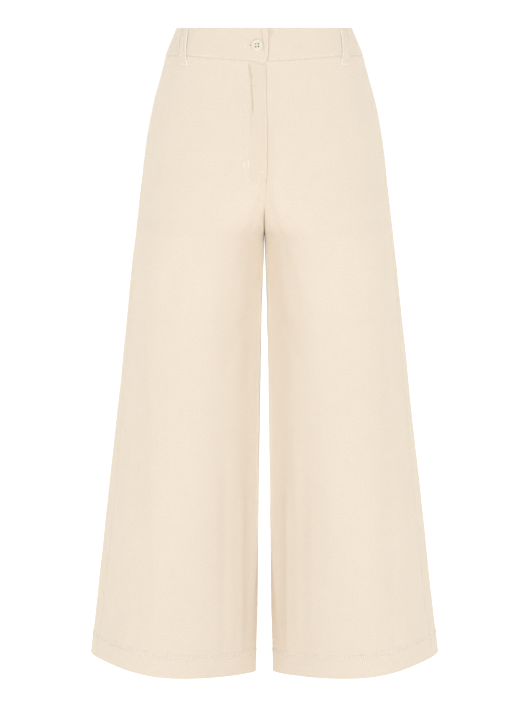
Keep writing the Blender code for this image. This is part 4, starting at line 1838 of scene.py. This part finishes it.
@dataclass(frozen=True)
class FourHoleButton:
    """The four-hole button on the lapped end of the band."""

    from_middle: float = 10.5 * MM
    drop: float = 24.8 * MM
    seat_gap: float = 0.9 * MM
    radius: float = 8.2 * MM
    hole: float = 0.95 * MM
    hole_spacing: float = 4.0 * MM
    hole_depth: float = 1.7 * MM
    turns: int = 192

    def profile(self) -> tuple[Array, Array]:
        """The turned outline from the middle of the back, round the edge, to the middle in front.

        Returns:
            The rings' distances from the axis and heights, and whether each is on the face.
        """
        radii, heights = np.array(BUTTON_FACE).T * MM
        face_radius = np.concatenate([spaced((4.2, 84), (8.2, 44))]) * MM
        face = np.stack([face_radius, smooth_values(face_radius, radii, heights)], axis=-1)[::-1]
        turn = np.linspace(-math.pi / 2, 0.0, 8)
        curl = 0.9 * MM
        edge = np.stack([self.radius - curl + curl * np.cos(turn), curl + curl * np.sin(turn)], axis=-1)
        base = np.stack([np.linspace(0.02 * MM, edge[0, 0], 8), np.zeros(8)], axis=-1)[:-1]
        rings = np.concatenate([base, edge, face])
        rings[-1, 0] = 0.02 * MM
        on_face = np.arange(len(rings)) >= len(base) + len(edge)
        return rings, on_face

    def build(self, material: Finish) -> Piece:
        """Turns the outline, sinks the four holes into the face and seats it on the band.

        A hole's depth is a smooth step of how far inside its radius a point lies.

        Args:
            material: The finish.

        Returns:
            The piece.
        """
        rings, on_face = self.profile()
        turn = np.arange(self.turns) * 2 * math.pi / self.turns
        u, v = rings[:, :1] * np.cos(turn), rings[:, :1] * np.sin(turn)
        offset = self.hole_spacing / 2
        sunk = np.zeros(u.shape)
        for i, j in ((-1, -1), (1, -1), (1, 1), (-1, 1)):
            gap = np.hypot(u - i * offset, v - j * offset)
            sunk = np.maximum(sunk, smooth_step((self.hole + 0.1 * MM - gap) / (0.22 * MM)))
        sunk = sunk * on_face[:, None]
        local = np.stack([u, v, rings[:, 1:] - sunk * self.hole_depth], axis=-1)
        seat, axes = self.seat()
        points = seat + local.reshape(-1, 3) @ axes
        number, lid = np.arange(u.size).reshape(u.shape), lid_quads(self.turns)
        quads = np.concatenate([tube_quads(number), lid[:, ::-1], lid + number[-1, 0]])
        mesh = make_mesh("button", points, quads)
        # how sunk each point is, which the finish paints near-black as shade in the holes
        add_tone(mesh, "hole", sunk)
        piece = finish_piece("button_resin_four_hole", mesh, material)
        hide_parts("button")
        return piece

    def seat(self) -> tuple[Array, Array]:
        """Where the button's back sits, and its own three directions, on the right half.

        Returns:
            The place, and the directions a row each.
        """
        drop = np.array(self.drop)
        angle = FORM.angle_at(np.array(self.from_middle), drop)
        flip = np.array([-1.0, 1.0, 1.0])
        outward = FORM.normal(angle, drop) * flip
        seat = FORM.place(angle, drop) * flip + outward * self.seat_gap
        sideways = unit(np.cross(np.array([0.0, 0.0, 1.0]), outward))
        return seat, np.stack([sideways, np.cross(outward, sideways), outward])


class NodeBench:
    """Adds and links shader nodes in one tree."""

    def __init__(self, tree: bpy.types.NodeTree) -> None:
        """Works on a tree."""
        self.tree = tree

    def fill(self, node: bpy.types.Node, inputs: dict) -> None:
        """Gives a node's inputs, by name or number, their values or links their sockets."""
        for name, value in inputs.items():
            if isinstance(value, bpy.types.NodeSocket):
                self.tree.links.new(value, node.inputs[name])
            else:
                node.inputs[name].default_value = value

    def add(self, kind: str, inputs: dict | None = None, **settings: object) -> bpy.types.Node:
        """A new node.

        Args:
            kind: The node's type; a shader node's without the words that they all share.
            inputs: Values or output sockets for its inputs, by name or number.
            settings: Its own settings.

        Returns:
            The node.
        """
        node = self.tree.nodes.new(kind if kind.startswith("Node") else f"ShaderNode{kind}")
        for name, value in settings.items():
            setattr(node, name, value)
        self.fill(node, inputs or {})
        return node

    def maths(self, operation: str, first: object, second: object = 0.0, third: object = 0.0) -> Socket:
        """A sum's result."""
        return self.add("Math", {0: first, 1: second, 2: third}, operation=operation).outputs[0]

    def mixed(self, share: object, first: object, second: object) -> Socket:
        """A mix of two colours."""
        return self.add("Mix", {0: share, 6: first, 7: second}, data_type="RGBA").outputs[2]

    def ranged(
        self, value: Socket, low: float, high: float, start: float = 0.0, end: float = 1.0
    ) -> Socket:
        """A value's place between two others, from start to end."""
        return self.add("MapRange", {0: value, 1: low, 2: high, 3: start, 4: end}).outputs[0]

    def noise(self, place: Socket, scale: float, detail: float = 2.0) -> Socket:
        """Cloudy noise."""
        return self.add("TexNoise", {"Vector": place, "Scale": scale, "Detail": detail}).outputs[0]

    def attribute(self, name: str) -> Socket:
        """A mesh's own number."""
        return self.add("Attribute", attribute_name=name).outputs["Fac"]


def new_finish(name: str, **inputs: object) -> tuple[Finish, NodeBench, bpy.types.Node]:
    """A new material with plain values for its shader.

    Args:
        name: The material's name.
        inputs: Values for the shader's inputs, with underscores for the spaces in their names.

    Returns:
        The material, a bench to work on its nodes and its shader.
    """
    made = bpy.data.materials.new(name)
    made.use_nodes = True
    shader, bench = made.node_tree.nodes["Principled BSDF"], NodeBench(made.node_tree)
    bench.fill(shader, {words.replace("_", " "): value for words, value in inputs.items()})
    return made, bench, shader


def weave_group() -> bpy.types.NodeTree:
    """The twill weave as a group: slanting ribs crossed by the weft, slubs, mottling and fuzz.

    Height is the sine of a slanting run times a gentler sine across it, plus noise; Tone is noise
    drawn out along the warp plus two sizes of cloudy noise.

    Returns:
        The group, with a Height and a Tone output.
    """
    group = bpy.data.node_groups.new("twill_weave", "ShaderNodeTree")
    for name, value in (("Ribs Per Metre", 1750.0), ("Slub", 1.0), ("Mottle", 1.0)):
        socket = group.interface.new_socket(name=name, in_out="INPUT", socket_type="NodeSocketFloat")
        socket.default_value = value
    for name in ("Height", "Tone"):
        group.interface.new_socket(name=name, in_out="OUTPUT", socket_type="NodeSocketFloat")
    bench = NodeBench(group)
    given = bench.add("NodeGroupInput").outputs
    metres = bench.add("UVMap", uv_map="cloth_metres").outputs["UV"]
    parts = bench.add("SeparateXYZ", {"Vector": metres}).outputs
    slant = bench.maths("MULTIPLY_ADD", parts["Y"], 0.52, bench.maths("MULTIPLY", parts["X"], 0.86))
    spacing = given["Ribs Per Metre"]
    ribs = bench.maths("MULTIPLY", bench.maths("MULTIPLY", slant, spacing), 2 * math.pi)
    weft = bench.maths("MULTIPLY", bench.maths("MULTIPLY", parts["Y"], spacing), 3.6 * math.pi)
    rib_height = bench.maths("MULTIPLY_ADD", bench.maths("SINE", ribs), 0.5, 0.5)
    weft_height = bench.maths("MULTIPLY_ADD", bench.maths("SINE", weft), 0.18, 0.82)
    drawn = bench.add("Mapping", {"Vector": metres, "Scale": (900.0, 26.0, 1.0)}).outputs[0]
    slub = bench.noise(drawn, 1.0)
    crossed = bench.add("Mapping", {"Vector": metres, "Scale": (34.0, 700.0, 1.0)}).outputs[0]
    weft_slub = bench.noise(crossed, 1.0)
    clouds = bench.noise(metres, 46.0, 4.0)
    grain, wide, fuzz = (bench.noise(metres, scale) for scale in (560.0, 7.0, 3200.0))
    height = bench.maths("MULTIPLY_ADD", fuzz, 0.3, bench.maths("MULTIPLY", rib_height, weft_height))
    height = bench.maths("MULTIPLY_ADD", slub, 0.35, height)
    yarns = bench.maths("ADD", slub, bench.maths("MULTIPLY", weft_slub, 0.8))
    yarns = bench.maths("MULTIPLY", bench.maths("SUBTRACT", yarns, 0.9), given["Slub"])
    cloudy = bench.maths("ADD", clouds, bench.maths("MULTIPLY", wide, 1.2))
    cloudy = bench.maths("MULTIPLY_ADD", grain, 8.0, cloudy)
    cloudy = bench.maths("MULTIPLY", bench.maths("SUBTRACT", cloudy, 5.1), given["Mottle"])
    tone = bench.maths("ADD", bench.maths("MULTIPLY", yarns, 0.5), bench.maths("MULTIPLY", cloudy, 0.5))
    bench.add("NodeGroupOutput", {"Height": height, "Tone": tone})
    return group


@dataclass(frozen=True)
class TwillFinish:
    """Cream cotton twill: matt and slightly downy, with painted highlight on raised sewing and loop edges,
    painted light where the legs face each other, and painted shade in its seams, grooves and shaded places.
    """

    name: str
    weave: bpy.types.NodeTree
    colour: tuple = (0.830, 0.735, 0.622, 1.0)
    warm: tuple = (0.785, 0.682, 0.556, 1.0)
    # a paler colour: for the weave's raised ribs, and painted highlight on raised sewing
    pale: tuple = (0.885, 0.805, 0.695, 1.0)
    # painted shade: the dark colour that grooves and troughs of the sewn relief take
    seam: tuple = (0.66, 0.545, 0.41, 1.0)
    # painted light: the paler colour for the inner legs' edges and the loops' edges
    painted_light: tuple = (0.98, 0.93, 0.83, 1.0)
    # the darker colour: painted shade on the legs, and the band's slightly darker tone
    darkened: tuple = (0.778, 0.675, 0.543, 1.0)

    def material(self) -> Finish:
        """Makes the finish.

        Returns:
            The material.
        """
        plain = {"Specular_IOR_Level": 0.2, "Sheen_Weight": 0.06, "Sheen_Roughness": 0.5}
        made, bench, shader = new_finish(self.name, **plain)
        weave = bench.add("Group", node_tree=self.weave).outputs
        sewing, painted_light_and_shade = bench.attribute("sewing"), bench.attribute("painted_light_and_shade")
        ribs = bench.ranged(weave["Height"], 0.2, 1.2)
        # the painted light and shade, split into its paler and its darker part
        painted_light = bench.maths("MAXIMUM", painted_light_and_shade, 0.0)
        # the darker part: painted shade on the legs, and the band's slightly darker tone
        darkened = bench.maths("MULTIPLY", bench.maths("MINIMUM", painted_light_and_shade, 0.0), -1.0)
        tone = bench.maths("MULTIPLY_ADD", weave["Tone"], 1.1, 0.5)
        cloth = bench.mixed(tone, self.warm, self.colour)
        cloth = bench.mixed(bench.maths("MULTIPLY", ribs, 0.18), cloth, self.pale)
        # painted highlight: raised sewing and crisp ridges turn paler
        cloth = bench.mixed(bench.ranged(sewing, 0.1, 0.6, 0.0, 0.5), cloth, self.pale)
        # painted light: the inner legs' edges and the loops' edges turn paler
        cloth = bench.mixed(painted_light, cloth, self.painted_light)
        # painted shade on the legs, and the band's slightly darker tone
        cloth = bench.mixed(darkened, cloth, self.darkened)
        # painted shade: grooves, rows' dents and crisp troughs turn darker with their depth
        cloth = bench.mixed(bench.ranged(sewing, -0.14, -0.8, 0.0, 0.62), cloth, self.seam)
        relief = bench.add("Bump", {"Strength": 0.5, "Distance": 0.12 * MM, "Height": weave["Height"]})
        rough = bench.ranged(weave["Height"], 0.0, 1.5, 0.96, 0.86)
        bench.fill(shader, {"Base Color": cloth, "Roughness": rough, "Normal": relief.outputs[0]})
        return made


@dataclass(frozen=True)
class ThreadFinish:
    """Matching cotton thread, a little paler than the cloth, with its twist as fine ridges."""

    name: str = "matching_thread"
    dark: tuple = (0.83, 0.76, 0.65, 1.0)
    light: tuple = (0.97, 0.93, 0.86, 1.0)

    def material(self) -> Finish:
        """Makes the finish.

        Returns:
            The material.
        """
        made, bench, shader = new_finish(self.name, Roughness=0.7, Specular_IOR_Level=0.3)
        place = bench.add("TexCoord").outputs["Object"]
        ply = {"Vector": place, "Scale": 900.0, "Distortion": 1.0}
        twist = bench.add("TexWave", ply, bands_direction="DIAGONAL").outputs["Fac"]
        share = bench.maths("MULTIPLY_ADD", bench.attribute("stitch_tone"), 0.16, 0.6)
        share = bench.maths("MULTIPLY_ADD", twist, 0.25, share)
        ridges = bench.add("Bump", {"Strength": 0.4, "Distance": 0.05 * MM, "Height": twist}).outputs[0]
        bench.fill(shader, {"Base Color": bench.mixed(share, self.dark, self.light), "Normal": ridges})
        return made


@dataclass(frozen=True)
class SlitShadowFinish:
    """Painted shadow: the near-black colour inside the buttonhole's slit."""

    name: str = "slit_shadow"
    colour: tuple = (0.05, 0.032, 0.02, 1.0)

    def material(self) -> Finish:
        """Makes the finish."""
        return new_finish(self.name, Base_Color=self.colour, Roughness=1.0, Specular_IOR_Level=0.0)[0]


@dataclass(frozen=True)
class ResinFinish:
    """Horn-look cream resin with a soft polish, cloudy inside, and painted shade darkening its holes."""

    name: str = "cream_resin"
    light: tuple = (0.875, 0.81, 0.69, 1.0)
    cloudy: tuple = (0.80, 0.73, 0.60, 1.0)
    # painted shade: the near-black colour of the holes
    hole: tuple = (0.085, 0.05, 0.032, 1.0)

    def material(self) -> Finish:
        """Makes the finish.

        Returns:
            The material.
        """
        made, bench, shader = new_finish(self.name, Specular_IOR_Level=0.4)
        place = bench.add("TexCoord").outputs["Object"]
        share = bench.ranged(bench.noise(place, 260.0, 3.0), 0.35, 0.65)
        colour = bench.mixed(share, self.cloudy, self.light)
        # painted shade: the holes darken with their depth
        colour = bench.mixed(bench.maths("MULTIPLY", bench.attribute("hole"), 0.95), colour, self.hole)
        rough = bench.ranged(bench.noise(place, 2600.0), 0.3, 0.7, 0.28, 0.42)
        bench.fill(shader, {"Base Color": colour, "Roughness": rough})
        return made


@dataclass(frozen=True)
class Softbox:
    """A large soft light, placed by its direction from the jeans and its height above them."""

    name: str
    azimuth: float
    height: float
    distance: float = 5.0
    size: float = 2.4
    watts: float = 96.0
    aim_drop: float = 0.48

    def build(self) -> None:
        """Makes the light and turns it towards the middle of the jeans."""
        data = bpy.data.lights.new(self.name, "AREA")
        data.shape = "SQUARE"
        data.size = self.size
        data.energy = self.watts
        light = bpy.data.objects.new(self.name, data)
        bearing = math.radians(self.azimuth)
        flat = (self.distance * math.sin(bearing), -self.distance * math.cos(bearing))
        light.location = (*flat, self.height - self.aim_drop)
        tilt = math.atan2(self.height, self.distance)
        light.rotation_euler = (math.pi / 2 - tilt, 0.0, bearing)
        bpy.context.scene.collection.objects.link(light)


@dataclass(frozen=True)
class Studio:
    """A white cyclorama behind the jeans, a dim room in front, two softboxes and a pale floor."""

    camera_distance: float = 3.75
    camera_across: float = 0.0009
    camera_pitch: float = 7.3
    lens: float = 129.34
    floor_drop: float = 1.32
    floor_glow: float = 0.73
    floor_grey: float = 0.3
    floor_half: float = 20.0
    room: float = 0.475
    cyclorama: float = 1.03
    softbox_azimuth: float = 37.0
    softbox_height: float = 0.9
    softbox_watts: float = 56.0

    def build(self) -> None:
        """Makes the surroundings, the floor, the lights and the camera."""
        scene = bpy.context.scene
        scene.world = self.surroundings()
        scene.view_settings.view_transform = "Standard"
        self.floor()
        for name, way in (("softbox_left", -1), ("softbox_right", 1)):
            Softbox(name, way * self.softbox_azimuth, self.softbox_height, watts=self.softbox_watts).build()
        lens = bpy.data.cameras.new("camera")
        lens.lens = self.lens
        lens.sensor_width = 36.0
        lens.clip_end = 60.0
        camera = bpy.data.objects.new("camera", lens)
        camera.location = (self.camera_across, -self.camera_distance, 0.0)
        camera.rotation_euler = (math.radians(90 - self.camera_pitch), 0.0, 0.0)
        scene.collection.objects.link(camera)
        scene.camera = camera

    def surroundings(self) -> bpy.types.World:
        """Light from all round: strong from the white cyclorama behind, weak from the room in front.

        Seen straight on, everything round the jeans is white.

        Returns:
            The world.
        """
        world = bpy.data.worlds.new("white_studio")
        world.use_nodes = True
        bench = NodeBench(world.node_tree)
        towards = bench.add("TexCoord").outputs["Generated"]
        back = bench.add("SeparateXYZ", {"Vector": towards}).outputs["Y"]
        ends = {0: back, 1: -0.8, 2: 0.2, 3: self.room, 4: self.cyclorama}
        lit = bench.add("MapRange", ends, interpolation_type="SMOOTHSTEP").outputs[0]
        seen = bench.add("LightPath").outputs["Is Camera Ray"]
        strength = bench.maths("MAXIMUM", lit, seen)
        bench.fill(world.node_tree.nodes["Background"], {"Color": WHITE, "Strength": strength})
        return world

    def floor(self) -> None:
        """A pale floor, which glows so that it stays white to the eye."""
        corners = np.array([(-1, -1), (1, -1), (1, 1), (-1, 1)]) * self.floor_half
        points = np.concatenate([corners, np.full((4, 1), -self.floor_drop)], axis=1)
        mesh = make_mesh("floor", points, np.array([[0, 1, 2, 3]]))
        grey = (self.floor_grey, self.floor_grey, self.floor_grey, 1.0)
        plain = {"Base_Color": grey, "Roughness": 0.9, "Specular_IOR_Level": 0.0, "Emission_Color": WHITE}
        paint, bench, shader = new_finish("white_floor", **plain)
        seen = bench.add("LightPath").outputs["Is Camera Ray"]
        glow = bench.maths("MULTIPLY_ADD", seen, 1.0 - self.floor_glow, self.floor_glow)
        bench.fill(shader, {"Emission Strength": glow})
        mesh.materials.append(paint)
        floor = bpy.data.objects.new("floor", mesh)
        bpy.context.scene.collection.objects.link(floor)


def build_jeans() -> None:
    """Builds every piece of the jeans and dresses it."""
    weave = weave_group()
    twill = TwillFinish("cotton_twill_cream", weave).material()
    strip_colours = {"colour": (0.815, 0.725, 0.61, 1.0), "warm": (0.775, 0.675, 0.55, 1.0)}
    strip = TwillFinish("cotton_twill_strip", weave, **strip_colours).material()
    thread, resin = ThreadFinish().material(), ResinFinish().material()
    halves = {side: Relief(side) for side in (Side.RIGHT, Side.LEFT)}
    for relief in halves.values():
        LegPanel(relief, Face.FRONT).build(twill)
        LegPanel(relief, Face.BACK).build(twill)
        Waistband(relief).build(twill)
    loops = []
    for number, place in enumerate(LOOPS):
        for side in place.sides:
            suffix = f"_{side.name.lower()}" if len(place.sides) > 1 else ""
            ends = (place.top_angle, place.bottom_angle, place.turn)
            loops.append(BeltLoop(place.name + suffix, side, *ends, seed=61 + 4 * number + side.value))
    for loop in loops:
        loop.build(strip)
    Topstitching(halves, tuple(loops)).build(thread)
    ButtonholeEyeShadow(halves[Side.RIGHT]).build(SlitShadowFinish().material())
    FourHoleButton().build(resin)


def main() -> None:
    """Builds the jeans in a white studio."""
    logging.basicConfig(level=logging.INFO, format="%(name)s: %(message)s")
    Studio().build()
    build_jeans()


if __name__ == "__main__":
    main()
